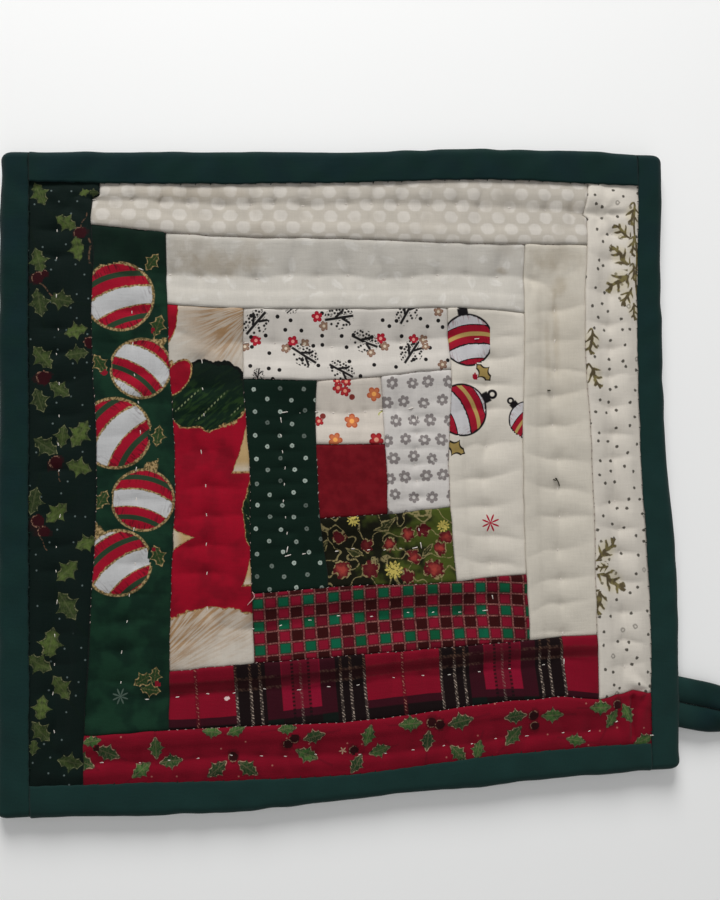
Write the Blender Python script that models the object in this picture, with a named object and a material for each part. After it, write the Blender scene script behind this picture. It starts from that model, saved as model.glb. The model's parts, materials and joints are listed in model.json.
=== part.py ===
"""A quilted pot holder in the log cabin pattern, with a bound edge and a hanging loop.

Blender 4.5, metres, +Z up. It lies face up: the quilted pad's back rests on z = 0 and its middle is the origin.
+X runs to the side that carries the loop and +Y to the edge that is furthest from it.
"""

import math

import bmesh
import bpy

MM = 0.001

# Seams of the log cabin, in mm. Round 0 is the middle square, each round adds four strips, and round 4 ends where
# the binding starts. Round 5 is the outer edge. A row gives the seam's distance from the middle, at even
# steps from -reach to +reach along it: "top" and "bottom" along X, "left" and "right" along Y.
SEAMS = {
    # (side, round): (reach, distances)
    ("top", 0): (33, (7.9, 7.8, 7.6, 7.4, 7.3)),
    ("right", 0): (33, (11.9, 11.8, 11.8, 11.2, 10.7)),
    ("bottom", 0): (33, (15.8, 15.3, 14.8, 14.0, 12.6)),
    ("left", 0): (33, (7.3, 9.2, 9.9, 9.8, 9.2)),
    ("top", 1): (55, (28.8, 28.1, 27.7, 30.3, 31.0)),
    ("right", 1): (55, (34.5, 32.3, 31.4, 33.0, 32.2)),
    ("bottom", 1): (55, (38.0, 37.2, 36.0, 36.1, 34.4)),
    ("left", 1): (55, (30.3, 30.7, 30.5, 31.8, 31.4)),
    ("top", 2): (78, (53.0, 50.4, 49.7, 49.8, 46.5)),
    ("right", 2): (78, (56.3, 55.2, 55.2, 57.0, 58.4)),
    ("bottom", 2): (78, (60.8, 58.6, 57.1, 55.6, 54.2)),
    ("left", 2): (78, (56.0, 54.8, 52.9, 54.2, 54.6)),
    ("top", 3): (95, (77.6, 72.8, 71.7, 70.4, 70.2)),
    ("right", 3): (95, (77.3, 77.6, 77.8, 77.2, 80.6)),
    ("bottom", 3): (95, (77.6, 76.7, 77.0, 73.4, 72.6)),
    ("left", 3): (95, (81.6, 78.7, 76.0, 76.9, 74.6)),
    ("top", 4): (95, (88.5, 88.3, 89.2, 90.8, 89.5)),
    ("right", 4): (95, (94.4, 95.2, 93.6, 94.9, 97.0)),
    ("bottom", 4): (95, (91.0, 91.8, 92.0, 90.0, 89.3)),
    ("left", 4): (95, (96.5, 96.2, 95.4, 95.2, 94.9)),
    ("top", 5): (105, (98.6, 99.1, 99.5, 100.0, 101.5, 101.8, 100.8)),
    ("right", 5): (100, (103.8, 105.0, 105.4, 103.7, 103.5, 104.3, 106.0)),
    ("bottom", 5): (105, (100.6, 102.0, 102.7, 101.0, 99.9, 98.5, 97.9)),
    ("left", 5): (100, (106.3, 105.9, 105.5, 105.0, 104.6, 104.2, 103.2)),
}
BINDING_ROUND = 4
EDGE_ROUND = 5

# Thicknesses of the padding, in mm.
CREST_Z = 7.2  # the padding stands this high between two quilted lines
TROUGH_Z = 4.7  # and is sewn down to this along them
TACK_DEPTH = 0.6  # the one stitch in the middle square pulls it in by this
GROOVE_Z = 1.2  # the quilted lines draw the back up by this
UNEVEN = 0.35  # the padding between two lines rises and falls by this along them
UNEVEN_STEP = 27.0

# The binding, a folded strip round the padding's edge, in mm.
WALL = 0.9
GAP = 0.3
BINDING_Z = 6.2
BINDING_CROWN = 0.2
BINDING_MIDDLE = 6.0  # the crown is this far in from the outer edge
EDGE_RADIUS = 2.6  # the round of the fold, seen in section
CORNER_RADIUS = 3.0  # the round of a corner, seen from above
SHARPEST_CORNER = 0.2
BINDING_WAVE = 0.25  # the fold's edge wanders in and out by this
BINDING_WAVE_STEP = 23.0
HEM_CHAMFER = 1.0
CHAMFER_GAP = 0.1
TUCK = 0.5  # the padding is pressed flat from this far inside the binding's edge
HEM_BOTTOM = WALL + GAP
HEM_TOP = BINDING_Z - WALL - GAP

# The hanging loop, a flat tape whose two ends are caught in the right edge, in mm.
TAPE_WIDTH = 7.6
TAPE_THICKNESS = 2.0
TAPE_ROUND = 0.7
LOOP_ROOT_Y = -76.9
LOOP_ANGLE = math.radians(-13.7)
LOOP_REACH = 46.0  # from the edge to the far bend
LEG_ROOT = 4.0  # from the loop's own middle line to each leg's middle, at the edge
LEG_FAR = 7.2  # and at the bend, where it is the bend's radius too
TWIST_END = 26.0  # a leg has turned on its side this far from the edge
SPREAD_START = 10.0  # and starts to leave the other one here
TAPE_CAUGHT = 5.0  # how far each end reaches into the edge
TAPE_ROOT_Z = BINDING_Z / 2
LEG_STEPS = 16
BEND_STEPS = 10

SHARP = math.radians(50)
FACE_COLOUR = (0.42, 0.20, 0.15)
BINDING_COLOUR = (0.012, 0.055, 0.045)

SIGN = {"top": 1, "right": 1, "bottom": -1, "left": -1}


# --- where the seams run ---------------------------------------------------------------------------------------


def smooth(values, place):
    """A smooth line through evenly spaced values, read at a place from 0 to the last one's index."""
    last = len(values) - 1
    i = min(max(int(math.floor(place)), 0), last - 1)
    f = place - i
    before, a, b, after = (values[min(max(j, 0), last)] for j in (i - 1, i, i + 1, i + 2))
    return a + 0.5 * f * (b - before + f * (2 * before - 5 * a + 4 * b - after + f * (3 * (a - b) + after - before)))


def seam(side, round_number, along, inset=0.0):
    """The seam's own coordinate, X for left and right and Y for top and bottom, at a place along it."""
    reach, values = SEAMS[side, round_number]
    place = (along / reach + 1) / 2 * (len(values) - 1)
    return SIGN[side] * (smooth(values, min(max(place, 0), len(values) - 1)) - inset)


def crossing(upright, level):
    """Where an upright line x(y) and a level line y(x) cross."""
    x = y = 0.0
    for _ in range(8):
        x, y = upright(y), level(x)
    return x, y


# --- the quilted pad -------------------------------------------------------------------------------------------


def ladder(low_side, high_side):
    """The lines from one edge of the pad to the other, as functions: hem, binding, seams of rounds 3 to 0 and back."""
    insets = {EDGE_ROUND: WALL + GAP + HEM_CHAMFER, BINDING_ROUND: TUCK}
    rounds = range(EDGE_ROUND, -1, -1)
    low = [lambda t, r=r: seam(low_side, r, t, insets.get(r, 0)) for r in rounds]
    high = [lambda t, r=r: seam(high_side, r, t, insets.get(r, 0)) for r in reversed(rounds)]
    return low + high


def between(lines, place, along):
    i = min(int(place), len(lines) - 2)
    f = place - i
    return (1 - f) * lines[i](along) + f * lines[i + 1](along)


HEM, HALF_LADDER = 0, 5.5  # the hem's place on the ladder, and the middle of the pad
OUTER_STRIP = (1, 1.25, 1.5, 1.75)
STRIP = (0, 0.35, 0.5, 0.65)  # a crest at the seam, then a quilted line between two shoulders


def grid_places():
    low = [HEM, *OUTER_STRIP] + [strip + part for strip in (2, 3, 4) for part in STRIP] + [5]
    return low + [HALF_LADDER] + [2 * HALF_LADDER - place for place in reversed(low)]


def bulge(ring):
    """0 on a quilted line and 1 half way to the next, for a ring number that is whole on a seam."""
    off_line = 0.5 if ring < 0 else abs(ring % 1 - 0.5)
    return math.sqrt(1 - (1 - 2 * off_line) ** 2)


def unevenness(ring, along):
    return UNEVEN * math.sin(2 * math.pi * along / UNEVEN_STEP + math.floor(ring))


def pad_heights(across, up, x, y):
    """(top, bottom) of the padding in mm."""
    ring = max(abs(across - HALF_LADDER), abs(up - HALF_LADDER)) - 0.5
    if ring >= BINDING_ROUND:
        return HEM_TOP, HEM_BOTTOM
    swell = bulge(ring)
    along = y if abs(across - HALF_LADDER) > abs(up - HALF_LADDER) else x
    top = TROUGH_Z + swell * (CREST_Z - TROUGH_Z + unevenness(ring, along))
    if ring < 0:
        top += TACK_DEPTH * 2 * ring
    return top, 0.0 if swell else GROOVE_Z


def pad_mesh():
    uprights, levels = ladder("left", "right"), ladder("bottom", "top")
    places = grid_places()
    last = len(places) - 1
    mesh = bmesh.new()
    top, bottom, plan = {}, {}, {}
    corner_draw = (CORNER_RADIUS - WALL - GAP) * (1 - math.sqrt(0.5))
    for i, across in enumerate(places):
        for j, up in enumerate(places):
            x, y = crossing(lambda t, p=across: between(uprights, p, t), lambda t, p=up: between(levels, p, t))
            if i in (0, last) and j in (0, last):
                x -= math.copysign(corner_draw, x)
                y -= math.copysign(corner_draw, y)
            high, low = pad_heights(across, up, x, y)
            plan[i, j] = (x, y)
            top[i, j] = mesh.verts.new((x * MM, y * MM, high * MM))
            bottom[i, j] = mesh.verts.new((x * MM, y * MM, low * MM))
    for i in range(last):
        for j in range(last):
            square = ((i, j), (i + 1, j), (i + 1, j + 1), (i, j + 1))
            mesh.faces.new([top[k] for k in square])
            mesh.faces.new([bottom[k] for k in reversed(square)])
    rim = [(i, 0) for i in range(last)] + [(last, j) for j in range(last)]
    rim += [(i, last) for i in range(last, 0, -1)] + [(0, j) for j in range(last, 0, -1)]
    outer = {}
    for i, j in rim:
        x, y = plan[i, j]
        out_x = HEM_CHAMFER * ((i == last) - (i == 0))
        out_y = HEM_CHAMFER * ((j == last) - (j == 0))
        outer[i, j] = [
            mesh.verts.new(((x + out_x) * MM, (y + out_y) * MM, z * MM))
            for z in (HEM_TOP - HEM_CHAMFER, HEM_BOTTOM + HEM_CHAMFER)
        ]
    for here, there in zip(rim, rim[1:] + rim[:1]):
        near = [top[here], *outer[here], bottom[here]]
        far = [top[there], *outer[there], bottom[there]]
        for level in range(3):
            mesh.faces.new((near[level], near[level + 1], far[level + 1], far[level]))
    return mesh


# --- solids made of loops --------------------------------------------------------------------------------------


def skin(loops):
    """A closed mesh through loops of equally many points, capped at both ends."""
    mesh = bmesh.new()
    rows = [[mesh.verts.new([c * MM for c in point]) for point in loop] for loop in loops]
    for lower, upper in zip(rows, rows[1:]):
        for k, start in enumerate(lower):
            end = (k + 1) % len(lower)
            mesh.faces.new((start, lower[end], upper[end], upper[k]))
    mesh.faces.new(reversed(rows[0]))
    mesh.faces.new(rows[-1])
    return mesh


SIDE_STATIONS = 14
CORNER_STEPS = 4
CORNER_CLEAR = CORNER_RADIUS + 2  # a side's stations keep this far from the next side
CORNERS = (("left", "bottom"), ("right", "bottom"), ("right", "top"), ("left", "top"))


def outline(inset, z):
    """The pot holder's outer edge drawn in by an inset, anticlockwise, with round corners."""
    radius = max(CORNER_RADIUS - inset, SHARPEST_CORNER)
    points = []
    for number, (upright, level) in enumerate(CORNERS):
        x, y = crossing(
            lambda t, side=upright: seam(side, EDGE_ROUND, t, inset + radius),
            lambda t, side=level: seam(side, EDGE_ROUND, t, inset + radius),
        )
        start = math.pi + number * math.pi / 2
        for step in range(CORNER_STEPS + 1):
            angle = start + step / CORNER_STEPS * math.pi / 2
            points.append((x + radius * math.cos(angle), y + radius * math.sin(angle), z))
        points += side_points(CORNERS[number], CORNERS[(number + 1) % 4], inset, z)
    return points


def side_points(corner, next_corner, inset, z):
    """The points between two corners. A small wave makes the fold as uneven as a hand-sewn one."""
    shared = (set(corner) & set(next_corner)).pop()
    others = [(set(c) - {shared}).pop() for c in (corner, next_corner)]
    ends = [seam(side, EDGE_ROUND, 0, CORNER_CLEAR) for side in others]
    points = []
    for step in range(1, SIDE_STATIONS):
        along = ends[0] + (ends[1] - ends[0]) * step / SIDE_STATIONS
        wave = BINDING_WAVE * math.sin(2 * math.pi * along / BINDING_WAVE_STEP)
        own = seam(shared, EDGE_ROUND, along, inset + (wave if inset < WALL else 0))
        points.append((along, own, z) if shared in ("top", "bottom") else (own, along, z))
    return points


SLAB_INSET = 12.5  # the slab's top and bottom faces start past the binding's inner edge


def rounded_slab():
    """The whole pot holder's outer form with its rounded edge. Each binding strip is cut from it."""
    arc = [math.radians(angle) for angle in range(-90, 91, 30)]
    middle = BINDING_Z / 2
    loops = [outline(SLAB_INSET, 0.0)]
    for angle in arc:
        flat = math.copysign(middle - EDGE_RADIUS, angle) if angle else 0.0
        loops.append(outline(EDGE_RADIUS * (1 - math.cos(angle)), middle + flat + EDGE_RADIUS * math.sin(angle)))
    loops.append(outline(BINDING_MIDDLE, BINDING_Z + BINDING_CROWN))
    loops.append(outline(SLAB_INSET, BINDING_Z - BINDING_CROWN))
    return skin(loops)


def slot_slab():
    """The room that the binding leaves for the padding's edge."""
    chamfer = HEM_CHAMFER + CHAMFER_GAP
    low, high = WALL, BINDING_Z - WALL
    return skin(
        [
            outline(WALL + chamfer, low),
            outline(WALL, low + chamfer),
            outline(WALL, high - chamfer),
            outline(WALL + chamfer, high),
        ]
    )


BELOW, ABOVE = -2.0, 10.0  # heights clear of every solid


def prism(points, low=BELOW, high=ABOVE):
    return skin([[(x, y, z) for x, y in points] for z in (low, high)])


OUTSIDE = 140.0
PAST_EDGE = 110.0
REGION_STEPS = 15


def side_region(side):
    """The plan of a left or right binding strip, which runs the pot holder's full height."""
    heights = [OUTSIDE - 2 * OUTSIDE * k / REGION_STEPS for k in range(REGION_STEPS + 1)]
    inner = [(seam(side, BINDING_ROUND, y), y) for y in heights]
    outer = [(SIGN[side] * OUTSIDE, -OUTSIDE), (SIGN[side] * OUTSIDE, OUTSIDE)]
    return [*inner, *outer][:: 1 if side == "right" else -1]


def end_region(side):
    """The plan of a top or bottom binding strip, which lies between the left and right ones."""
    sign = SIGN[side]

    def butt(other, y):
        return seam(other, BINDING_ROUND, y, GAP)

    y_in, y_out = seam(side, BINDING_ROUND, 0), sign * PAST_EDGE
    left, right = butt("left", y_in), butt("right", y_in)
    columns = [left + (right - left) * k / REGION_STEPS for k in range(REGION_STEPS + 1)]
    inner = [(x, seam(side, BINDING_ROUND, x)) for x in columns]
    outer = [(butt("right", y_out), y_out), (butt("left", y_out), y_out)]
    return [*inner, *outer][::sign]


# --- the hanging loop ------------------------------------------------------------------------------------------


def tape_section():
    """A flat tape's section with rounded corners: width along the first axis, thickness along the second."""
    points = []
    for sx, sy, start in ((1, -1, 270), (1, 1, 0), (-1, 1, 90), (-1, -1, 180)):
        for angle in (start, start + 45, start + 90):
            a = math.radians(angle)
            points.append(
                (
                    sx * (TAPE_WIDTH / 2 - TAPE_ROUND) + TAPE_ROUND * math.cos(a),
                    sy * (TAPE_THICKNESS / 2 - TAPE_ROUND) + TAPE_ROUND * math.sin(a),
                )
            )
    return points


def ease(share):
    """0 up to a share of 0, 1 from a share of 1, and smooth between them."""
    share = min(max(share, 0.0), 1.0)
    return share * share * (3 - 2 * share)


def tape_stations():
    """(along, across, height, heading, lean) down the tape's middle, in the loop's own axes.

    A leg lies flat where the edge holds it and stands on its side at the far bend, with the same face outwards.
    It never reaches below the surface that the pot holder lies on.
    """
    straight = LOOP_REACH - LEG_FAR
    legs = []
    for step in range(LEG_STEPS + 1):
        along = -TAPE_CAUGHT + step / LEG_STEPS * (straight + TAPE_CAUGHT)
        lean = ease(along / TWIST_END) * math.pi / 2
        across = LEG_ROOT + (LEG_FAR - LEG_ROOT) * ease((along - SPREAD_START) / (straight - SPREAD_START))
        rise = (TAPE_WIDTH * math.sin(lean) + TAPE_THICKNESS * math.cos(lean)) / 2
        legs.append((along, across, max(TAPE_ROOT_Z, rise), 0.0, lean))
    bend = []
    for step in range(1, BEND_STEPS):
        angle = math.pi / 2 - step / BEND_STEPS * math.pi
        along, across = straight + LEG_FAR * math.cos(angle), LEG_FAR * math.sin(angle)
        bend.append((along, across, TAPE_WIDTH / 2, angle - math.pi / 2, math.pi / 2))
    back = [(along, -across, height, -math.pi, lean) for along, across, height, _, lean in reversed(legs)]
    return legs + bend + back


def loop_point(along, across):
    """From the loop's own axes to the pot holder's, in mm."""
    cos, sin = math.cos(LOOP_ANGLE), math.sin(LOOP_ANGLE)
    edge_x = seam("right", EDGE_ROUND, LOOP_ROOT_Y)
    return edge_x + along * cos - across * sin, LOOP_ROOT_Y + along * sin + across * cos


def loop_mesh():
    section = tape_section()
    loops = []
    for along, across, height, heading, lean in tape_stations():
        ring = []
        for width, thick in section:
            sideways = width * math.cos(lean) + thick * math.sin(lean)
            lift = thick * math.cos(lean) - width * math.sin(lean)
            x, y = loop_point(along - sideways * math.sin(heading), across + sideways * math.cos(heading))
            ring.append((x, y, height + lift))
        loops.append(ring)
    mesh = skin(loops)
    bmesh.ops.recalc_face_normals(mesh, faces=mesh.faces)
    return mesh


PAST_FOLD = 4.0


def pocket_mesh():
    """The slit in the edge that holds the tape's two ends."""
    half_width = LEG_ROOT + TAPE_WIDTH / 2 + GAP
    inner, outer = -TAPE_CAUGHT - GAP, PAST_FOLD
    corners = ((inner, -half_width), (outer, -half_width), (outer, half_width), (inner, half_width))
    half_height = TAPE_THICKNESS / 2 + GAP
    return prism(
        [loop_point(along, across) for along, across in corners],
        TAPE_ROOT_Z - half_height,
        TAPE_ROOT_Z + half_height,
    )


# --- objects ---------------------------------------------------------------------------------------------------


def clear_scene():
    for thing in list(bpy.data.objects):
        bpy.data.objects.remove(thing)


def cotton(name, colour):
    material = bpy.data.materials.new(name)
    material.use_nodes = True
    shader = material.node_tree.nodes["Principled BSDF"]
    shader.inputs["Base Color"].default_value = (*colour, 1)
    shader.inputs["Roughness"].default_value = 0.9
    shader.inputs["Metallic"].default_value = 0.0
    return material


def add_object(name, mesh, material=None):
    data = bpy.data.meshes.new(name)
    mesh.to_mesh(data)
    mesh.free()
    data.shade_smooth()
    data.set_sharp_from_angle(angle=SHARP)
    thing = bpy.data.objects.new(name, data)
    bpy.context.scene.collection.objects.link(thing)
    if material:
        data.materials.append(material)
    else:  # a cutter
        thing.hide_render = True
        thing.display_type = "WIRE"
    return thing


def combine(thing, cutter, operation):
    modifier = thing.modifiers.new(f"{operation.lower()} {cutter.name}", "BOOLEAN")
    modifier.operation = operation
    modifier.object = cutter


def main():
    clear_scene()
    face = cotton("quilted_cotton", FACE_COLOUR)
    green = cotton("binding_cotton", BINDING_COLOUR)
    slot = add_object("slot_cutter", slot_slab())
    pocket = add_object("pocket_cutter", pocket_mesh())

    pad = add_object("quilted_pad", pad_mesh(), face)
    combine(pad, pocket, "DIFFERENCE")

    for side in ("left", "right", "top", "bottom"):
        plan = side_region(side) if side in ("left", "right") else end_region(side)
        region = add_object(f"{side}_region", prism(plan))
        strip = add_object(f"binding_{side}", rounded_slab(), green)
        combine(strip, region, "INTERSECT")
        combine(strip, slot, "DIFFERENCE")
        if side == "right":
            combine(strip, pocket, "DIFFERENCE")

    add_object("hanging_loop", loop_mesh(), green)


main()
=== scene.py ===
# %% [markdown]
# # A quilted pot holder, dressed
# This script puts the looks on a pot holder whose solids are already built. The solids come in as a fixed
# frame, in metres: a padded square, four binding strips and a hanging loop. Here the square gets its
# patchwork, which is the log cabin pattern: a middle square, and round it four rounds of four strips.
# Everything is matched to the frame.

import json
import math
from functools import partial

import bmesh
import bpy
import numpy as np
from mathutils import Euler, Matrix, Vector

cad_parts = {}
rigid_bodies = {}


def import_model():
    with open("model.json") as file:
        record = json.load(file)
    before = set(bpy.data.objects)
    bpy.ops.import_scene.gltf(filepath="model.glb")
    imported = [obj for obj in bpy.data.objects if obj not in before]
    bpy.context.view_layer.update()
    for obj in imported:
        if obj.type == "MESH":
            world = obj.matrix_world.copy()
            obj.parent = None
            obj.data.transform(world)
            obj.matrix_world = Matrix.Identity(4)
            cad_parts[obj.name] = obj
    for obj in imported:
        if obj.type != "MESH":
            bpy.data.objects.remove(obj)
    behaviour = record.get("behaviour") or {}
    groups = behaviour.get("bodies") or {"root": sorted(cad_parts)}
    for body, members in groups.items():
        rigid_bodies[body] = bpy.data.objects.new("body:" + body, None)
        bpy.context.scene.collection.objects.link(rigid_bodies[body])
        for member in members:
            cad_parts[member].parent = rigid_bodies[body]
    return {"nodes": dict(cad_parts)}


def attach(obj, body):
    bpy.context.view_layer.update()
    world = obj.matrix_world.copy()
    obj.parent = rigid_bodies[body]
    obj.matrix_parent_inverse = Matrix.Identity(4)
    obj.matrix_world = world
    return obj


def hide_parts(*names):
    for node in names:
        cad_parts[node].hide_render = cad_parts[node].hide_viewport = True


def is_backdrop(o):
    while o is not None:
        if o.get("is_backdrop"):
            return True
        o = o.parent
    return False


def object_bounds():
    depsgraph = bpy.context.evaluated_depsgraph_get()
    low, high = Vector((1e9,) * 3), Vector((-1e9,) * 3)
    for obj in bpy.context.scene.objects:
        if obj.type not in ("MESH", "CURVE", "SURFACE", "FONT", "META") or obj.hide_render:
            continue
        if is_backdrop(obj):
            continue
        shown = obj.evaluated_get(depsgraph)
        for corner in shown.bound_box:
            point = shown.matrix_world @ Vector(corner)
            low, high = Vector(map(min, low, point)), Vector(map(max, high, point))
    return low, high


for thing in list(bpy.data.objects):
    bpy.data.objects.remove(thing)
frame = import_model()
cad_low, cad_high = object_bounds()
MM = 0.001
print("frame", sorted(frame["nodes"]), [round(c, 1) for c in (cad_high - cad_low) / MM], "mm")


def new_object(name, data):
    """An object in the scene that carries a mesh, a lamp or a camera."""
    made = bpy.data.objects.new(name, data)
    bpy.context.scene.collection.objects.link(made)
    return made


# %% [markdown]
# ## Camera
# The photograph looks down on the pot holder from about 31 cm, a little from the left, so the right side
# comes out smaller. Placing the camera first lets us use it as a measuring tool: a mark that we see at a
# pixel of the 720 x 900 picture lies on the ray through that pixel, and `on_face` follows the ray down to
# the cloth.

# %% Camera and the ray through a pixel
PICTURE = (720, 900)
LENS, SENSOR = 40.0, 36.0
EYE = Vector((-0.0335, -0.0086, 0.3133))
TURN = Euler([math.radians(angle) for angle in (2.83, -6.83, -1.47)])
FACE_Z = 6.6  # the patchwork's height in mm, near enough for reading places off the picture

camera = new_object("camera", bpy.data.cameras.new("camera"))
camera.data.lens, camera.data.sensor_width = LENS, SENSOR
camera.location, camera.rotation_euler = EYE, TURN
bpy.context.scene.camera = camera


def on_face(u, v, height=FACE_Z):
    """The place in mm of what the picture shows at pixel (u, v), at a height above the surface."""
    per_pixel = SENSOR / LENS / max(PICTURE)
    ray = Vector(((u - PICTURE[0] / 2) * per_pixel, (PICTURE[1] / 2 - v) * per_pixel, -1))
    ray.rotate(TURN)
    hit = EYE + ray * ((height * MM - EYE.z) / ray.z)
    return hit.x / MM, hit.y / MM


print("the middle square's top left corner lies at", [round(c, 1) for c in on_face(318, 444)], "mm")

# %% [markdown]
# ## Floor and light
# A pale floor and soft light keep the eye on the cloth. The main light is a wide panel beyond the top edge:
# light that comes in low across a quilt is what draws its puckers, and a weaker panel opposite keeps the
# shadows open.

# %% Floor, world and lamps
FLOOR_SIZE = 3.0
LAMPS = [
    # name, place in metres, width in metres, power in watts
    ("key", (-0.1, 1.0, 0.6), 0.6, 13.0),
    ("fill", (0.25, -0.8, 0.7), 1.0, 0.9),
    ("top", (0.0, 0.0, 1.4), 1.2, 3.2),
]


def principled(name, values):
    """A new material and its shader, with plain values on the shader's own sockets."""
    material = bpy.data.materials.new(name)
    material.use_nodes = True
    shader = material.node_tree.nodes["Principled BSDF"]
    for title, value in values.items():
        shader.inputs[title].default_value = value
    return material, shader


floor_mesh = bpy.data.meshes.new("floor")
half = FLOOR_SIZE / 2
corners = [(-half, -half, 0), (half, -half, 0), (half, half, 0), (-half, half, 0)]
floor_mesh.from_pydata(corners, [], [(0, 1, 2, 3)])
floor_white, _ = principled("floor_white", {"Base Color": (0.9, 0.9, 0.89, 1), "Roughness": 0.6})
floor_mesh.materials.append(floor_white)
floor = new_object("floor", floor_mesh)
floor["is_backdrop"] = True

for name, place, width, power in LAMPS:
    lamp = bpy.data.lights.new(name, "AREA")
    lamp.shape, lamp.size, lamp.energy = "DISK", width, power
    holder = new_object(name, lamp)
    holder.location = place
    holder.rotation_euler = (-Vector(place)).to_track_quat("-Z", "Y").to_euler()

world = bpy.data.worlds.new("studio")
world.use_nodes = True
world.node_tree.nodes["Background"].inputs["Color"].default_value = (0.98, 0.99, 1.0, 1)
world.node_tree.nodes["Background"].inputs["Strength"].default_value = 0.24
bpy.context.scene.world = world
bpy.context.scene.view_settings.view_transform = "Standard"
print("lamps in watts", {name: power for name, _, _, power in LAMPS})

# %% [markdown]
# ## The seams
# All the shapes hang on one short table: where each seam of the log cabin runs. A hand-sewn block is never
# quite square, so each seam has five measured distances from the middle, joined by a smooth line. Round 4 is
# where the binding starts and round 5 is the outer edge. The frame was built from the same table, so the two
# agree.

# %% Seams, in mm
SEAMS = {
    # (side, round): (reach, distances at even steps from -reach to +reach along the seam)
    ("top", 0): (33, (7.9, 7.8, 7.6, 7.4, 7.3)),
    ("right", 0): (33, (11.9, 11.8, 11.8, 11.2, 10.7)),
    ("bottom", 0): (33, (15.8, 15.3, 14.8, 14.0, 12.6)),
    ("left", 0): (33, (7.3, 9.2, 9.9, 9.8, 9.2)),
    ("top", 1): (55, (28.8, 28.1, 27.7, 30.3, 31.0)),
    ("right", 1): (55, (34.5, 32.3, 31.4, 33.0, 32.2)),
    ("bottom", 1): (55, (38.0, 37.2, 36.0, 36.1, 34.4)),
    ("left", 1): (55, (30.3, 30.7, 30.5, 31.8, 31.4)),
    ("top", 2): (78, (53.0, 50.4, 49.7, 49.8, 46.5)),
    ("right", 2): (78, (56.3, 55.2, 55.2, 57.0, 58.4)),
    ("bottom", 2): (78, (60.8, 58.6, 57.1, 55.6, 54.2)),
    ("left", 2): (78, (56.0, 54.8, 52.9, 54.2, 54.6)),
    ("top", 3): (95, (77.6, 72.8, 71.7, 70.4, 70.2)),
    ("right", 3): (95, (77.3, 77.6, 77.8, 77.2, 80.6)),
    ("bottom", 3): (95, (77.6, 76.7, 77.0, 73.4, 72.6)),
    ("left", 3): (95, (81.6, 78.7, 76.0, 76.9, 74.6)),
    ("top", 4): (95, (88.5, 88.3, 89.2, 90.8, 89.5)),
    ("right", 4): (95, (94.4, 95.2, 93.6, 94.9, 97.0)),
    ("bottom", 4): (95, (91.0, 91.8, 92.0, 90.0, 89.3)),
    ("left", 4): (95, (96.5, 96.2, 95.4, 95.2, 94.9)),
    ("top", 5): (105, (98.6, 99.1, 99.5, 100.0, 101.5, 101.8, 100.8)),
    ("right", 5): (100, (103.8, 105.0, 105.4, 103.7, 103.5, 104.3, 106.0)),
    ("bottom", 5): (105, (100.6, 102.0, 102.7, 101.0, 99.9, 98.5, 97.9)),
    ("left", 5): (100, (106.3, 105.9, 105.5, 105.0, 104.6, 104.2, 103.2)),
}
BINDING_ROUND, EDGE_ROUND = 4, 5
SIGN = {"top": 1, "right": 1, "bottom": -1, "left": -1}
UPRIGHT, LEVEL = ("left", "right"), ("bottom", "top")


def smooth_line(values, along, reach):
    """A smooth line through values at even steps from -reach to +reach, read at places along it."""
    values = np.asarray(values, float)
    last = len(values) - 1
    place = (along / reach + 1) / 2 * last
    i = np.clip(np.floor(place).astype(int), 0, last - 1)
    f = np.clip(place, 0, last) - i
    before, a, b, after = (values[np.clip(i + k, 0, last)] for k in (-1, 0, 1, 2))
    bend = f * (2 * before - 5 * a + 4 * b - after + f * (3 * (a - b) + after - before))
    return a + 0.5 * f * (b - before + bend)


def seam(side, round_number, along, inset=0.0):
    """The seam's X, for left and right, or Y, for top and bottom, at places along it."""
    reach, values = SEAMS[side, round_number]
    return SIGN[side] * (smooth_line(values, np.asarray(along, float), reach) - inset)


def on_side(side, across, along):
    """(x, y) from a line's own coordinate and places along it."""
    return (across, along) if side in UPRIGHT else (along, across)


def ladder(low_side, high_side, position, along):
    """How many lines lie below a position, with parts: 0 at the low edge, 11 at the high one."""
    lines = [seam(low_side, r, along) for r in range(EDGE_ROUND, -1, -1)]
    lines += [seam(high_side, r, along) for r in range(EDGE_ROUND + 1)]
    return sum(np.clip((position - low) / (high - low), 0, 1) for low, high in zip(lines, lines[1:]))


MIDDLE = 5.5
CORNER_EASE = 0.4  # strips over which a quilted line turns its corner


def rounds(x, y):
    """(ring, upright, corner) of points in mm. A ring is whole on a seam, upright is true in the left and
    right strips, and corner counts how many strips away the diagonal is, where the strips turn."""
    across = ladder("left", "right", x, y) - MIDDLE
    up = ladder("bottom", "top", y, x) - MIDDLE
    corner = abs(abs(across) - abs(up))
    eased = np.maximum(CORNER_EASE - corner, 0) ** 2 / (4 * CORNER_EASE)
    return np.maximum(abs(across), abs(up)) + eased - 0.5, abs(across) > abs(up), corner


print("seam lines", len(SEAMS), "and the middle's sides", [float(seam(side, 0, 0)) for side in UPRIGHT])

# %% [markdown]
# ## How the cloth lies
# Two layers of cotton with wadding between them are sewn through along four square lines, one down the
# middle of each round. The cloth is held down on those lines and stands up between them, so the seams ride
# on the crests. A hand stitch also gathers the cloth a little, and the spare length escapes sideways as
# puckers across the line. A formula can say all this better than a sculpt: `face_z` gives the height of any
# place, and every patch asks it.

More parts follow.
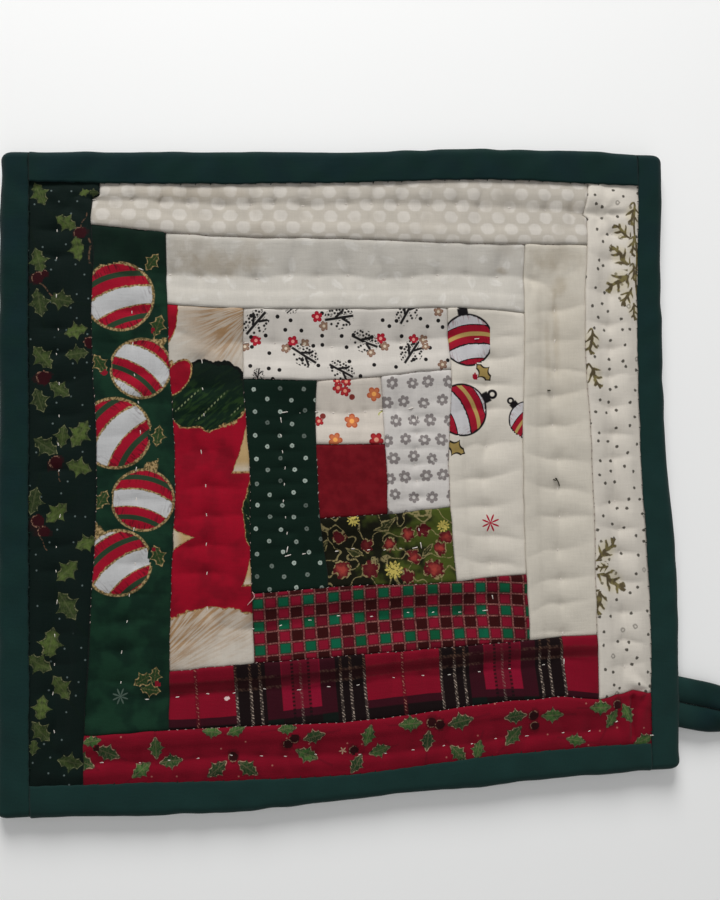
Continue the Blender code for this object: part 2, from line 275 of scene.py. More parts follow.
# %% The relief of the face
CREST_Z, TROUGH_Z, INNER_TROUGH_Z = 7.3, 5.4, 5.8
OUTER_DROP = 0.8  # the binding holds the last seam down
STITCH_STEP, INNER_STITCH_STEP = 9.4, 4.9  # the inmost round has finer stitches
STEP_DRIFT = 0.3
PUCKER_DEPTH, INNER_PUCKER = 0.85, 0.45
STITCH_DEPTH, STITCH_REACH = 0.3, 1.3
LINE_WANDER = 0.045
COARSE_LUMPS, FINE_LUMPS = 0.16, 0.07
LINE_SHIFTS = {
    # (strip, side): how many strips too far out its line was quilted, at even steps along the outer seam
    (3, "top"): (0.16, 0.15, 0.13, 0.15, 0.15, 0.07, 0.0),
    (3, "bottom"): (0.1, 0.12, 0.1, 0.2, 0.24, 0.18, 0.2),
    (3, "left"): (0.075, 0.075),
    (2, "top"): (-0.08, -0.09, -0.06, -0.03, 0.0, 0.0, 0.0),
    (2, "bottom"): (-0.05, -0.05),
    (2, "left"): (0.12, 0.12, 0.0, -0.02, -0.045, -0.04, -0.04),
    (1, "bottom"): (0.0, 0.0, -0.05, -0.05, -0.05),
    (1, "left"): (0.045, 0.045, 0.045, 0.125, 0.06, 0.03, 0.03),
}
RING_WIDTH = 21.5
BINDING_FOOT_Z = 5.2
NOISE_SIDE = 61
GATHERS = [
    # x, y, rays, depth, spread in mm, where the cloth is drawn together
    (94.5, -72.0, 7, 0.4, 9.0),
    (86.0, 82.0, 5, 0.18, 7.0),
]
PLEATS = [
    # pixels at its two ends, depth and half width in mm
    ((634, 698), (635, 738), 1.7, 0.8), ((584, 212), (633, 213), 0.5, 1.0),
]


def lumps(x, y, size, seed):
    """Smooth random bumps about one size apart, from -1 to 1."""
    values = np.random.default_rng(seed).uniform(-1, 1, (NOISE_SIDE, NOISE_SIDE))
    px, py = np.asarray(x, float) / size, np.asarray(y, float) / size
    i, j = np.floor(px).astype(int), np.floor(py).astype(int)
    f, g = px - i, py - j
    f, g = f * f * (3 - 2 * f), g * g * (3 - 2 * g)

    def row(b):
        low, high = (values[(i + a) % NOISE_SIDE, (j + b) % NOISE_SIDE] for a in (0, 1))
        return low * (1 - f) + high * f

    return row(0) * (1 - g) + row(1) * g


def ease(low, high, value):
    share = np.clip((value - low) / (high - low), 0, 1)
    return share * share * (3 - 2 * share)


def stitch_count(along, strip):
    """How many stitches of a quilted line have gone by, counting parts: whole at a stitch."""
    step = np.where(strip < 1, INNER_STITCH_STEP, STITCH_STEP)
    return along / step + STEP_DRIFT * lumps(along, strip * 37.0, 16, 2) + 0.37 * strip


def line_shift(x, y, strip, upright, corner):
    """How far outside the middle of its strip a quilted line runs, in strips."""
    along, across = np.where(upright, y, x), np.where(upright, x, y)
    shift = -LINE_WANDER * lumps(along, strip * 19.0, 9, 13)
    for (level, side), values in LINE_SHIFTS.items():
        here = (strip == level) & (upright == (side in UPRIGHT)) & (across * SIGN[side] > 0)
        shift = shift + here * smooth_line(values, along, SEAMS[side, level + 1][0])
    return shift * ease(0.0, 0.4, corner)


def quilting_at(x, y):
    """(ring, strip, corner, off_line, count) of places in mm. off_line is 0 on a quilted line, 1 on a
    seam, and count is how many stitches have gone by."""
    ring, upright, corner = rounds(x, y)
    strip = np.maximum(np.floor(ring), 0)
    pulled = ring - line_shift(x, y, strip, upright, corner)
    off_line = np.where(ring < 0, 1.0, abs(pulled - strip - 0.5) * 2)
    return ring, strip, corner, off_line, stitch_count(np.where(upright, y, x), strip)


def face_z(x, y):
    """Height in mm of the patchwork at places in mm, without its seams."""
    ring, strip, corner, off_line, count = quilting_at(x, y)
    off_line = np.clip(off_line, 0, 1)
    puff = 1 - (1 - off_line) ** 1.2
    trough = np.where(strip < 1, INNER_TROUGH_Z, TROUGH_Z)
    crest = CREST_Z - OUTER_DROP * ease(BINDING_ROUND - 0.5, BINDING_ROUND, ring)
    z = trough + (crest - trough) * puff * (1 + 0.1 * lumps(x, y, 24, 1))
    drifted = count + 0.35 * off_line * lumps(x, y, 11, 12)
    pucker = abs(np.sin(np.pi * drifted)) ** 0.8 - 0.68
    reach = np.exp(-((off_line / 0.8) ** 2)) * (0.8 + 0.4 * lumps(x, y, 13, 3)) * ease(0.0, 0.25, corner)
    z += np.where(strip < 1, INNER_PUCKER, PUCKER_DEPTH) * pucker * reach
    pit = np.exp(-((off_line * RING_WIDTH / 2 / STITCH_REACH) ** 2)) * np.cos(np.pi * count) ** 4
    z += COARSE_LUMPS * lumps(x, y, 7, 4) + FINE_LUMPS * lumps(x, y, 3.1, 5) - STITCH_DEPTH * pit
    for px, py, turns, depth, spread in GATHERS:
        far = np.hypot(x - px, y - py)
        near = np.exp(-(((far - spread / 2) / spread * 2) ** 2))
        z += depth * np.cos(turns * np.arctan2(y - py, x - px)) * near
    for start, end, depth, half_width in PLEATS:
        (ax, ay), (bx, by) = on_face(*start), on_face(*end)
        length = math.hypot(bx - ax, by - ay)
        share = np.clip(((x - ax) * (bx - ax) + (y - ay) * (by - ay)) / length**2, 0, 1)
        far = np.hypot(x - ax - share * (bx - ax), y - ay - share * (by - ay))
        z -= depth * np.exp(-((far / half_width) ** 2))
    near_binding = ease(-1.2, 5.0, (BINDING_ROUND - ring) * RING_WIDTH)
    return BINDING_FOOT_Z + (z - BINDING_FOOT_Z) * near_binding


heights = face_z(np.linspace(-90, 90, 400), np.zeros(400))
print("across its middle the face is", heights.min().round(1), "to", heights.max().round(1), "mm high")

# %% [markdown]
# ## Seventeen pieces of cloth
# A log cabin block grows clockwise from its middle square: a strip on top, one on the right, one below, one
# on the left, and round again. Each strip covers the ends of the ones before it, so a piece is bounded by
# four seam lines. Each gets a mesh of its own: a fine grid between its four lines, lifted onto the relief.
# At its edges the cloth dips into the seam. On its inner side it also stands a little proud, because the
# seam allowances are pressed under it.

# %% Patches as meshes
GRID_STEP = 0.55
EDGE_STATIONS = (0.0, 0.18, 0.4, 0.7)  # closer together at a seam, in mm
SEAM_DEPTH, SEAM_WIDTH = 0.55, 0.38
ALLOWANCE_LIFT, ALLOWANCE_WIDTH = 0.38, 6.0
SKIRT = 0.7  # the cloth turns down this far in the seam
UNDER_BINDING = 2.2
SEAM_WANDER = 0.14
SEAM_JOGS = {
    # (side, round): places in mm along the seam, and how many mm outside its smooth line it was sewn there
    ("left", 3): ((66, 78, 84.2, 85), (0.0, 1.4, 1.4, -0.7)),
    ("right", 3): ((79.3, 80.1, 90), (0.0, -1.3, 0.0)),
    ("bottom", 3): ((66, 77.3, 83.5, 85.5, 88.8, 92.1, 94, 97), (0.0, 1.6, 0.5, 0.6, -0.6, 0.1, 0.7, 1.0)),
}


def sewn_line(side, round_number, along):
    """A seam line as it was really sewn, a touch uneven. Round 4 runs on under the binding."""
    wander = SEAM_WANDER * lumps(along, 17 * round_number + 5 * len(side), 4.5, 6)
    if (side, round_number) in SEAM_JOGS:
        wander = wander + SIGN[side] * np.interp(along, *SEAM_JOGS[side, round_number])
    inset = -UNDER_BINDING if round_number == BINDING_ROUND else 0.0
    return seam(side, round_number, along, inset) + wander


def patch_borders():
    """Name to its (left, right, bottom, top) lines and the side where its allowances lie."""
    borders = {"middle_square": (("left", 0), ("right", 0), ("bottom", 0), ("top", 0), None)}
    for k in range(1, BINDING_ROUND + 1):
        borders[f"top_{k}"] = (("left", k - 1), ("right", k - 1), ("top", k - 1), ("top", k), "bottom")
        borders[f"right_{k}"] = (("right", k - 1), ("right", k), ("bottom", k - 1), ("top", k), "left")
        borders[f"bottom_{k}"] = (("left", k - 1), ("right", k), ("bottom", k), ("bottom", k - 1), "top")
        borders[f"left_{k}"] = (("left", k), ("left", k - 1), ("bottom", k), ("top", k), "right")
    return borders


def stations(length):
    """Places along an edge, from 0 to its length, closer together at both ends."""
    edge = np.array(EDGE_STATIONS)
    inner = length - 2 * edge[-1]
    middle = edge[-1] + inner * np.linspace(0, 1, max(int(inner / GRID_STEP), 1) + 1)
    return np.concatenate([edge[:-1], middle, length - edge[-2::-1]])


GRID_TURNS = 14  # rounds in which the crossings of the seam lines are found


def grid_between(borders, s, t):
    """(x, y) of a grid between four seam lines, for shares s from left to right and t from bottom to top."""
    left, right, bottom, top = borders
    x, y = s * 0, t * 0
    for _ in range(GRID_TURNS):
        x = (1 - s) * sewn_line(*left, y) + s * sewn_line(*right, y)
        y = (1 - t) * sewn_line(*bottom, x) + t * sewn_line(*top, x)
    return x, y


def span(low, high):
    """The distance between two seam lines, in mm, at their middles."""
    return seam(*high, 0) - seam(*low, 0)


def fill_between(left, right, bottom, top):
    """(x, y, distances in mm from the four lines) of a patch's grid, finer near its seams."""
    shares = [stations(length) / length for length in (span(left, right), span(bottom, top))]
    x, y = grid_between((left, right, bottom, top), *np.meshgrid(*shares, indexing="ij"))
    gaps = {
        "left": x - sewn_line(*left, y),
        "right": sewn_line(*right, y) - x,
        "bottom": y - sewn_line(*bottom, x),
        "top": sewn_line(*top, x) - y,
    }
    return x, y, gaps


def with_skirt(x, y, z):
    """The grid with a rim of points below its edge, so that the cloth turns down into the seam."""
    x, y, z = (np.pad(values, 1, mode="edge") for values in (x, y, z))
    rim = np.ones(z.shape, bool)
    rim[1:-1, 1:-1] = False
    z[rim] -= SKIRT
    return x, y, z


def cells(grid):
    """The four corners of each cell of a grid, anticlockwise, on an axis of their own."""
    return np.stack([grid[:-1, :-1], grid[1:, :-1], grid[1:, 1:], grid[:-1, 1:]], 2)


def sheet_mesh(name, points, cloth, wrap=False):
    """A mesh from an m x n grid of points in mm, with a UV map in mm. wrap joins up the second axis."""
    m, n = points.shape[:2]
    number = np.arange(m * n).reshape(m, n)
    if wrap:
        number = np.concatenate([number, number[:, :1]], axis=1)
        cloth = np.concatenate([cloth, cloth[:, :1] + [0, cloth[0, -1, 1] - cloth[0, 0, 1]]], axis=1)
    quads = cells(number).reshape(-1, 4)
    mesh = bpy.data.meshes.new(name)
    mesh.vertices.add(m * n)
    mesh.vertices.foreach_set("co", (points * MM).astype(np.float32).ravel())
    mesh.loops.add(quads.size)
    mesh.loops.foreach_set("vertex_index", quads.astype(np.int32).ravel())
    mesh.polygons.add(len(quads))
    mesh.polygons.foreach_set("loop_start", np.arange(0, quads.size, 4, dtype=np.int32))
    mesh.update(calc_edges=True)
    mesh.shade_smooth()
    mesh.uv_layers.new(name="cloth").data.foreach_set("uv", cells(cloth).astype(np.float32).ravel())
    return new_object(name, mesh)


patches, patch_sizes = {}, {}
for name, (left, right, bottom, top, pressed) in patch_borders().items():
    x, y, gaps = fill_between(left, right, bottom, top)
    z = face_z(x, y)
    for side, gap in gaps.items():
        z -= SEAM_DEPTH * np.exp(-np.maximum(gap, 0) / SEAM_WIDTH)
        if side == pressed:
            z += ALLOWANCE_LIFT * (1 - ease(ALLOWANCE_WIDTH * 0.6, ALLOWANCE_WIDTH, gap))
    x, y, z = with_skirt(x, y, z)
    patches[name] = sheet_mesh(name, np.stack([x, y, z], -1), np.stack([x, y], -1))
    patch_sizes[name] = (float(np.median(np.ptp(x, axis=0))), float(np.median(np.ptp(y, axis=1))))
print("patches", {name: (round(w), round(h)) for name, (w, h) in patch_sizes.items()})
print("faces", sum(len(piece.data.polygons) for piece in patches.values()))

# %% [markdown]
# ## The back
# The back is one plain piece of cotton. It lies flat on the surface, but each quilted line draws it up into
# a groove, with the same stitches as on the face. It is the same kind of grid, with its faces turned to look
# down.

# %% The back cloth
BACK_STEP = 0.9
GROOVE_Z, GROOVE_WIDTH = 1.25, 1.7
CREASE_Z, CREASE_REACH = 0.5, 4.5
BACK_EDGE_Z = 1.0
TOUCH_Z = 0.03


def back_z(x, y):
    """Height in mm of the back cloth at places in mm."""
    ring, _, corner, off_line, count = quilting_at(x, y)
    off_line = off_line * RING_WIDTH / 2
    groove = np.exp(-((off_line / GROOVE_WIDTH) ** 2)) * (0.8 + 0.2 * np.cos(np.pi * count) ** 4)
    drifted = count + 0.03 * off_line * lumps(x, y, 11, 12)
    crease = 1 - abs(np.sin(np.pi * drifted)) ** 0.5
    crease = crease * np.exp(-((off_line / CREASE_REACH) ** 2)) * ease(0.0, 0.25, corner)
    rise = GROOVE_Z * groove + CREASE_Z * crease + 0.1 * np.maximum(lumps(x, y, 9, 7), 0)
    by_binding = 1 - ease(0.0, 3.0, (BINDING_ROUND - ring) * RING_WIDTH)
    return TOUCH_Z + np.maximum(rise, BACK_EDGE_Z * by_binding)


def bound_grid(step):
    """(x, y) of an even grid inside the binding, running a little way under it."""
    left, right, bottom, top = borders = [(side, BINDING_ROUND) for side in UPRIGHT + LEVEL]
    shares = [np.linspace(0, 1, int(length / step)) for length in (span(left, right), span(bottom, top))]
    return grid_between(borders, *np.meshgrid(*shares, indexing="ij"))


x, y = (values[:, ::-1] for values in bound_grid(BACK_STEP))
backing = sheet_mesh("backing", np.stack([x, y, back_z(x, y)], -1), np.stack([x, y], -1))
print("back", backing.dimensions.to_tuple(4))

# %% [markdown]
# ## The wadding
# Between face and back lies the wadding, a soft mat of cotton fibre. It hardly shows, but it is what makes a
# pot holder a pad. We give it its own closed form: it follows the face above and the back below, a little
# inside both, so that nothing of it comes through a seam.

# %% The wadding
WADDING_STEP, WADDING_SHARE = 3.0, 0.97  # it ends just short of the line where the face ends
BELOW_FACE, ABOVE_BACK = 1.6, 0.5


def closed_pad(name, x, y, top, bottom):
    """A closed mesh between an upper and a lower surface over the same grid, in mm."""
    points = np.concatenate([np.stack([x, y, z], -1).reshape(-1, 3) for z in (top, bottom)])
    upper = np.arange(x.size).reshape(x.shape)
    over = cells(upper).reshape(-1, 4)
    rim = np.concatenate([upper[:-1, 0], upper[-1, :-1], upper[:0:-1, -1], upper[0, :0:-1]])
    onward = np.roll(rim, -1)
    sides = np.stack([rim + x.size, onward + x.size, onward, rim], -1)
    mesh = bpy.data.meshes.new(name)
    quads = np.concatenate([over, over[:, ::-1] + x.size, sides])
    mesh.from_pydata((points * MM).tolist(), [], quads.tolist())
    mesh.shade_smooth()
    return new_object(name, mesh)


x, y = (values * WADDING_SHARE for values in bound_grid(WADDING_STEP))
wadding = closed_pad("wadding", x, y, face_z(x, y) - BELOW_FACE, back_z(x, y) + ABOVE_BACK)
print("wadding", wadding.dimensions.to_tuple(4), "faces", len(wadding.data.polygons))

# %% [markdown]
# ## The binding
# The raw edges are covered by strips of green cotton, folded over the edge and sewn down on both sides. The
# left and right strips run the full height, and the top and bottom ones end against them. A strip is a C in
# section, so we draw that C once as a line with a wall round it, and carry it along the edge. The section
# closes up at the ends of the long strips, where the cloth is folded in.

# %% Binding strips
WALL = 0.8
BINDING_Z = 6.25
FOLD_RADIUS = 2.7
CORNER_RADIUS = 3.2
END_ROUND = 2.6
BUTT_ROUND = 0.8
BUTT_GAP = 0.35
LIP_SET_BACK = {
    # how far in mm the sewn-down edge keeps outside round 4, at even steps along the side
    "top": (0.75, 0.9, 0.95, 1.0, 0.9),
    "right": (0.2, 0.7, 1.2, 0.5, 0.6),
    "bottom": (0.6, 1.2, 1.5, 0.2, 0.0),
    "left": (0.5, 0.5, 0.9, 0.7, 0.5),
}
BINDING_STEP, BINDING_LENGTH = 0.8, 200
FIT_TURNS = 6  # rounds in which a section is moved onto the bent edge
LIP_SCALLOP, LIP_UNEVEN, EDGE_UNEVEN = 0.07, 0.14, 0.34
CROWN, CROWN_UNEVEN = 0.22, 0.3
END_SHARE, END_STEPS = 0.015, 12  # the sections lie closer together over this share of the strip at each end
BUTT_FLATNESS = 0.75  # how much of its height a butted end keeps
LIP_STEP = 4.6  # between the hand stitches that hold the inner edge down


def lip(side, along):
    """Where the binding's sewn-down edge lies, in mm across the side."""
    reach, _ = SEAMS[side, BINDING_ROUND]
    return seam(side, BINDING_ROUND, along, -smooth_line(LIP_SET_BACK[side], along, reach))


def fold_section(width):
    """The C's middle line, from the upper lip round to the lower: (inset from the edge, height) pairs."""
    top, bottom = BINDING_Z - WALL / 2, WALL / 2 + TOUCH_Z
    radius = FOLD_RADIUS - WALL / 2
    middle = (top + bottom) / 2
    flat = [(width - (width - FOLD_RADIUS) * k, top) for k in (0, 0.08, 0.2, 0.35, 0.5, 0.65, 0.8, 0.92)]
    turn = []
    for angle in np.linspace(0, math.pi, 15):
        height = middle + math.cos(angle) * radius + math.copysign(middle - bottom - radius, math.cos(angle))
        turn.append((FOLD_RADIUS - math.sin(angle) * radius, height))
    return np.array(flat + turn + [(inset, bottom) for inset, _ in reversed(flat)])


def walled(line, wall):
    """A closed outline that keeps half a wall from a line on both sides, with round ends."""
    step = np.gradient(line, axis=0)
    step /= np.linalg.norm(step, axis=1)[:, None]
    across = np.stack([-step[:, 1], step[:, 0]], -1)
    outline = list(line - across * wall / 2)
    for end, side in ((-1, 1), (0, -1)):
        for angle in (-50, 0, 50):
            a = math.radians(angle)
            outward = side * step[end] * math.cos(a) + side * across[end] * math.sin(a)
            outline.append(line[end] + wall / 2 * outward)
        if end == -1:
            outline += list(line[::-1] + across[::-1] * wall / 2)
    return np.array(outline)


def strip_end(side, high, own):
    """Where a strip's low or high end lies: at the edge, or just short of the strip it butts against."""
    if side in UPRIGHT:
        return seam("top" if high else "bottom", EDGE_ROUND, own)
    return lip("right", own) - BUTT_GAP if high else lip("left", own) + BUTT_GAP


def run_along(points):
    """The distance gone at each point of a chain."""
    return np.concatenate([[0], np.cumsum(np.linalg.norm(np.diff(points, axis=0), axis=1))])


def binding_strip(side):
    """(points, cloth) of one strip. The ends of the upright ones are folded closed."""
    closed = side in UPRIGHT
    limit, kept = (END_ROUND, 0.0) if closed else (BUTT_ROUND, BUTT_FLATNESS)
    crowd = END_SHARE * np.linspace(0, 1, END_STEPS)[1:-1] ** 2
    even = np.linspace(0, 1, int(BINDING_LENGTH / BINDING_STEP))
    rows, cloth = [], []
    for f in np.sort(np.concatenate([even, crowd, 1 - crowd])):
        own = seam(side, EDGE_ROUND, 0)
        for _ in range(FIT_TURNS):
            low, high = (strip_end(side, upper, own) for upper in (False, True))
            along = low + (high - low) * f
            own = seam(side, EDGE_ROUND, along)
        from_end = min(along - low, high - along)
        width = abs(float(own - lip(side, along)))
        width += LIP_UNEVEN * float(lumps(along, SIGN[side] * 31 + (not closed), 6, 8))
        width += LIP_SCALLOP * math.cos(2 * math.pi * along / LIP_STEP)
        draw_in = EDGE_UNEVEN * float(lumps(along, SIGN[side] * 13 + (not closed), 6.5, 9))
        if closed and from_end < CORNER_RADIUS:
            draw_in += CORNER_RADIUS - math.sqrt(CORNER_RADIUS**2 - (CORNER_RADIUS - from_end) ** 2)
        outline = walled(fold_section(width), WALL)
        inset, height = outline.T
        inset = inset + draw_in * np.clip(1 - inset / width, 0, 1)
        crown = CROWN * np.sin(np.pi * np.clip(inset / width, 0, 1))
        crown = crown + CROWN_UNEVEN * lumps(along + inset * 0.5, inset * 0.9 + own, 6, 10)
        height = height + np.where(height > BINDING_Z / 2, crown, 0)
        if from_end < limit:
            squeeze = math.sqrt(max(1 - (1 - from_end / limit) ** 2, 0.0))
            height = BINDING_Z / 2 + (height - BINDING_Z / 2) * (kept + (1 - kept) * squeeze)
        spot = np.full_like(height, along)
        rows.append(np.stack([*on_side(side, own - SIGN[side] * inset, spot), height], -1))
        cloth.append(np.stack([spot, run_along(outline)], -1))
    order = -1 if side in ("right", "bottom") else 1
    return np.array(rows)[:, ::order], np.array(cloth)[:, ::order]


def closed_tube(name, rows, cloth):
    """A tube through rings of points in mm, with a cap on both ends."""
    piece = sheet_mesh(name, rows, cloth, wrap=True)
    m, n = rows.shape[:2]
    shape = bmesh.new()
    shape.from_mesh(piece.data)
    shape.verts.ensure_lookup_table()
    for ring in (range(n), range((m - 1) * n, m * n)):
        shape.faces.new([shape.verts[i] for i in ring])
    bmesh.ops.recalc_face_normals(shape, faces=shape.faces)
    shape.to_mesh(piece.data)
    shape.free()
    return piece


binding = {}
for side in ("left", "right", "top", "bottom"):
    binding[side] = closed_tube(f"bound_edge_{side}", *binding_strip(side))
print("binding faces", {side: len(strip.data.polygons) for side, strip in binding.items()})

# %% [markdown]
# ## The hanging loop
# A folded tape with both ends caught in the right edge. Its legs leave the edge flat, side by side, and turn
# on their sides towards the bend. We keep the frame's route and carry a finer, softer section along it.

# %% Loop of tape
TAPE_WIDTH, TAPE_THICKNESS = 7.9, 4.2
LOOP_ROOT_Y = -76.9
LOOP_ANGLE = math.radians(-13.7)
LOOP_REACH = 46.0
LEG_FAR = 7.2
TWIST_START, TWIST_END = 4.0, 34.0
SPREAD_START = 16.0
LEGS_APART = 0.03
TAPE_CAUGHT = 2.2
TAPE_ROOT_Z = 3.1
LEG_STEPS, BEND_STEPS, SECTION_STEPS = 60, 36, 40


def tape_section(width, thickness):
    """A flattened tube's outline: points (across, through), fullest in the middle."""
    angle = np.linspace(0, 2 * math.pi, SECTION_STEPS, endpoint=False)
    across, through = np.cos(angle), np.sin(angle)
    return width / 2 * np.sign(across) * abs(across) ** 0.85, thickness / 2 * through


def tape_stations():
    """(along, across, height, heading, lean) down the tape's middle, in the loop's own axes."""
    straight = LOOP_REACH - LEG_FAR
    legs = []
    for step in range(LEG_STEPS + 1):
        along = -TAPE_CAUGHT + step / LEG_STEPS * (straight + TAPE_CAUGHT)
        lean = float(ease(TWIST_START, TWIST_END, along)) * math.pi / 2
        reach = math.hypot(TAPE_WIDTH * math.cos(lean), TAPE_THICKNESS * math.sin(lean)) / 2 + LEGS_APART
        across = reach + (LEG_FAR - TAPE_THICKNESS / 2) * float(ease(SPREAD_START, straight, along))
        rise = math.hypot(TAPE_WIDTH * math.sin(lean), TAPE_THICKNESS * math.cos(lean)) / 2
        legs.append((along, across, max(TAPE_ROOT_Z, rise), 0.0, lean))
    bend = []
    for step in range(1, BEND_STEPS):
        angle = math.pi / 2 - step / BEND_STEPS * math.pi
        far = LEG_FAR + LEGS_APART
        place = straight + far * math.cos(angle), far * math.sin(angle)
        bend.append((*place, TAPE_WIDTH / 2, angle - math.pi / 2, math.pi / 2))
    back = [(along, -across, height, -math.pi, lean) for along, across, height, _, lean in reversed(legs)]
    return legs + bend + back


tape_line = tape_stations()
runs = run_along([station[:2] for station in tape_line])
cos, sin = math.cos(LOOP_ANGLE), math.sin(LOOP_ANGLE)
edge_x = float(seam("right", EDGE_ROUND, LOOP_ROOT_Y))
width, bulk = tape_section(TAPE_WIDTH, TAPE_THICKNESS)
around = np.linspace(0, 2 * (TAPE_WIDTH + TAPE_THICKNESS), SECTION_STEPS, endpoint=False)
rows, cloth = [], []
for run, (along, across, height, heading, lean) in zip(runs, tape_line):
    thick = bulk * (1 + 0.16 * lumps(run + width * 0.5, width, 5, 11))
    sideways = width * math.cos(lean) + thick * math.sin(lean)
    lift = thick * math.cos(lean) - width * math.sin(lean)
    u = along - sideways * math.sin(heading)
    v = across + sideways * math.cos(heading)
    x, y = edge_x + u * cos - v * sin, LOOP_ROOT_Y + u * sin + v * cos
    rows.append(np.stack([x, y, np.maximum(height + lift, 0.02)], -1))
    cloth.append(np.stack([np.full_like(around, run), around], -1))
loop = closed_tube("loop_tape", np.array(rows), np.array(cloth))

# %% [markdown]
# ## Writing a print as a sum
# A printed cotton is a picture worked out from two numbers: how far across the cloth a point lies, and how
# far up. In a shader each sum is a Math node, and a print takes dozens of them. So Python does the wiring: a
# `Wire` is a number or a colour on its way through the nodes, and adding two Wires makes an Add node between
# them.

# %% Wires
class Wire:
    """A value on its way through a node tree."""

    def __init__(self, tree, socket):
        self.tree, self.socket = tree, socket

    def __abs__(self):
        return math_node("ABSOLUTE", self)


def operator(operation, flipped=False):
    """What Python runs for a sum of Wires: it makes the Math node."""

    def make(a, b):
        return math_node(operation, b, a) if flipped else math_node(operation, a, b)

    return make


SUMS = {"add": "ADD", "sub": "SUBTRACT", "mul": "MULTIPLY", "truediv": "DIVIDE", "pow": "POWER"}
for name, operation in SUMS.items():
    setattr(Wire, f"__{name}__", operator(operation))
    setattr(Wire, f"__r{name}__", operator(operation, flipped=True))


def join(value, socket):
    """Feeds a socket from a Wire, or sets it to a plain number or a colour."""
    if isinstance(value, Wire):
        value.tree.links.new(value.socket, socket)
    elif isinstance(value, tuple):
        socket.default_value = (*value, 1)
    else:
        socket.default_value = value


def node(tree, kind, feeds=(), **settings):
    """Makes a node, feeds its inputs, in order or by name or number, and gives its outputs as Wires."""
    made = tree.nodes.new(kind)
    for title, value in settings.items():
        setattr(made, title, value)
    feeds = feeds if isinstance(feeds, dict) else dict(enumerate(feeds))
    for where, value in feeds.items():
        join(value, made.inputs[where])
    return [Wire(tree, socket) for socket in made.outputs]


def math_node(operation, *values):
    tree = next(value.tree for value in values if isinstance(value, Wire))
    return node(tree, "ShaderNodeMath", values, operation=operation)[0]


smaller, larger = partial(math_node, "MINIMUM"), partial(math_node, "MAXIMUM")
wave, cosine = partial(math_node, "SINE"), partial(math_node, "COSINE")
whole, part = partial(math_node, "FLOOR"), partial(math_node, "FRACT")
angle_of = partial(math_node, "ARCTAN2")


def odd(value):
    """1 where a whole number is odd, else 0."""
    return math_node("MODULO", abs(value), 2.0)


def length_of(x, y):
    return math_node("SQRT", x * x + y * y)


def spun(x, y, cos, sin):
    """(x, y) in axes that are turned by the angle of that cosine and sine."""
    return x * cos + y * sin, y * cos - x * sin


def fade(value, low, high):
    """0 up to low, 1 from high on, and a soft step between. With low above high it runs down instead."""
    return node(value.tree, "ShaderNodeMapRange", (value, low, high), interpolation_type="SMOOTHSTEP")[0]


def inside(distance, soft=0.06):
    """1 where a distance to an outline is above 0, with a soft edge."""
    return fade(distance, -soft, soft)


def vector(x, y):
    return node(x.tree, "ShaderNodeCombineXYZ", (x, y))[0]


def object_place(tree):
    """Where a point lies in its own object, in metres."""
    return node(tree, "ShaderNodeTexCoord")[3]


def noise(place, size, detail=2.0):
    """Cloudy values round 0.5, with clouds about one size across."""
    feeds = {"Vector": place, "Scale": 1 / size, "Detail": detail}
    return node(place.tree, "ShaderNodeTexNoise", feeds, noise_dimensions="2D")[0]


def paint(below, above, mask, blend_type="MIX"):
    """Colour `above` laid over colour `below` where the mask is 1."""
    feeds = {0: mask, 6: below, 7: above}
    tree = next(wire.tree for wire in (mask, above) if isinstance(wire, Wire))
    return node(tree, "ShaderNodeMix", feeds, data_type="RGBA", blend_type=blend_type)[2]


OWN_SHEEN = 0.0045  # the pale sheen that any cloth adds to its dye


def dye(red, green, blue):
    """A matched colour, 0 to 255 as on a screen, as the light that the cloth gives back."""
    shares = [value / 255 for value in (red, green, blue)]
    light = [((s + 0.055) / 1.055) ** 2.4 if s > 0.04 else s / 12.92 for s in shares]
    return tuple(max(share - OWN_SHEEN, 0.0008) for share in light)


print("a cream cotton gives back", [round(share, 2) for share in dye(198, 190, 178)])

# %% [markdown]
# ## Drawing tools
# Petals, leaves and staggered dots turn up in print after print, so each is a node group, made once. They
# draw at unit size round the point (0, 0) and put out masks: white where there is ink. The colours stay with
# each cotton.

# %% Node groups for the prints
def node_group(name, inputs, outputs, draw):
    """A shader group. draw gets the inputs as Wires, and gives back a Wire for each output."""
    tree = bpy.data.node_groups.new(name, "ShaderNodeTree")
    entry, leave = tree.nodes.new("NodeGroupInput"), tree.nodes.new("NodeGroupOutput")
    for title, value in inputs.items():
        kind = {float: "Float", tuple: "Color", str: "Vector"}[type(value)]
        socket = tree.interface.new_socket(title, in_out="INPUT", socket_type=f"NodeSocket{kind}")
        if value:
            join(value, socket)
    for title in outputs:
        kind = "Color" if title == "Colour" else "Float"
        tree.interface.new_socket(title, in_out="OUTPUT", socket_type=f"NodeSocket{kind}")
    results = draw(*(Wire(tree, entry.outputs[title]) for title in inputs))
    for wire, title in zip(results, outputs):
        join(wire, leave.inputs[title])
    return tree


def use(group, tree, *values):
    """Places a group in a material's tree, fed in the order of its inputs, and gives its outputs."""
    return node(tree, "ShaderNodeGroup", values, node_tree=group)


def draw_petals(u, v, petals, depth, heart):
    edge = 1 - depth * (1 - abs(wave(angle_of(v, u) * petals / 2)) ** larger(depth * 4 - 1, 0.6))
    radius = length_of(u, v)
    ink = inside(edge - radius)
    return ink, ink * inside(radius - edge + 0.2), inside(heart - radius)


def draw_leaf(u, v, width, spines, depth, rim):
    taper = larger(1 - abs(u), 0.0) ** 0.7 * 1.2
    half_width = width * taper * (1 - depth * abs(wave(u * spines * math.pi / 2)) ** 0.7)
    room = half_width - abs(v) - 0.03
    ink = inside(room, 0.04)
    side_veins = fade(abs(part((u - abs(v) * 0.8) * 2.5) - 0.5), 0.1, 0.04) * 0.5
    vein = larger(inside(0.04 - abs(v), 0.04), side_veins)
    return ink, ink * inside(rim - room, 0.05), ink * vein, fade(room, -0.3, 0.25)


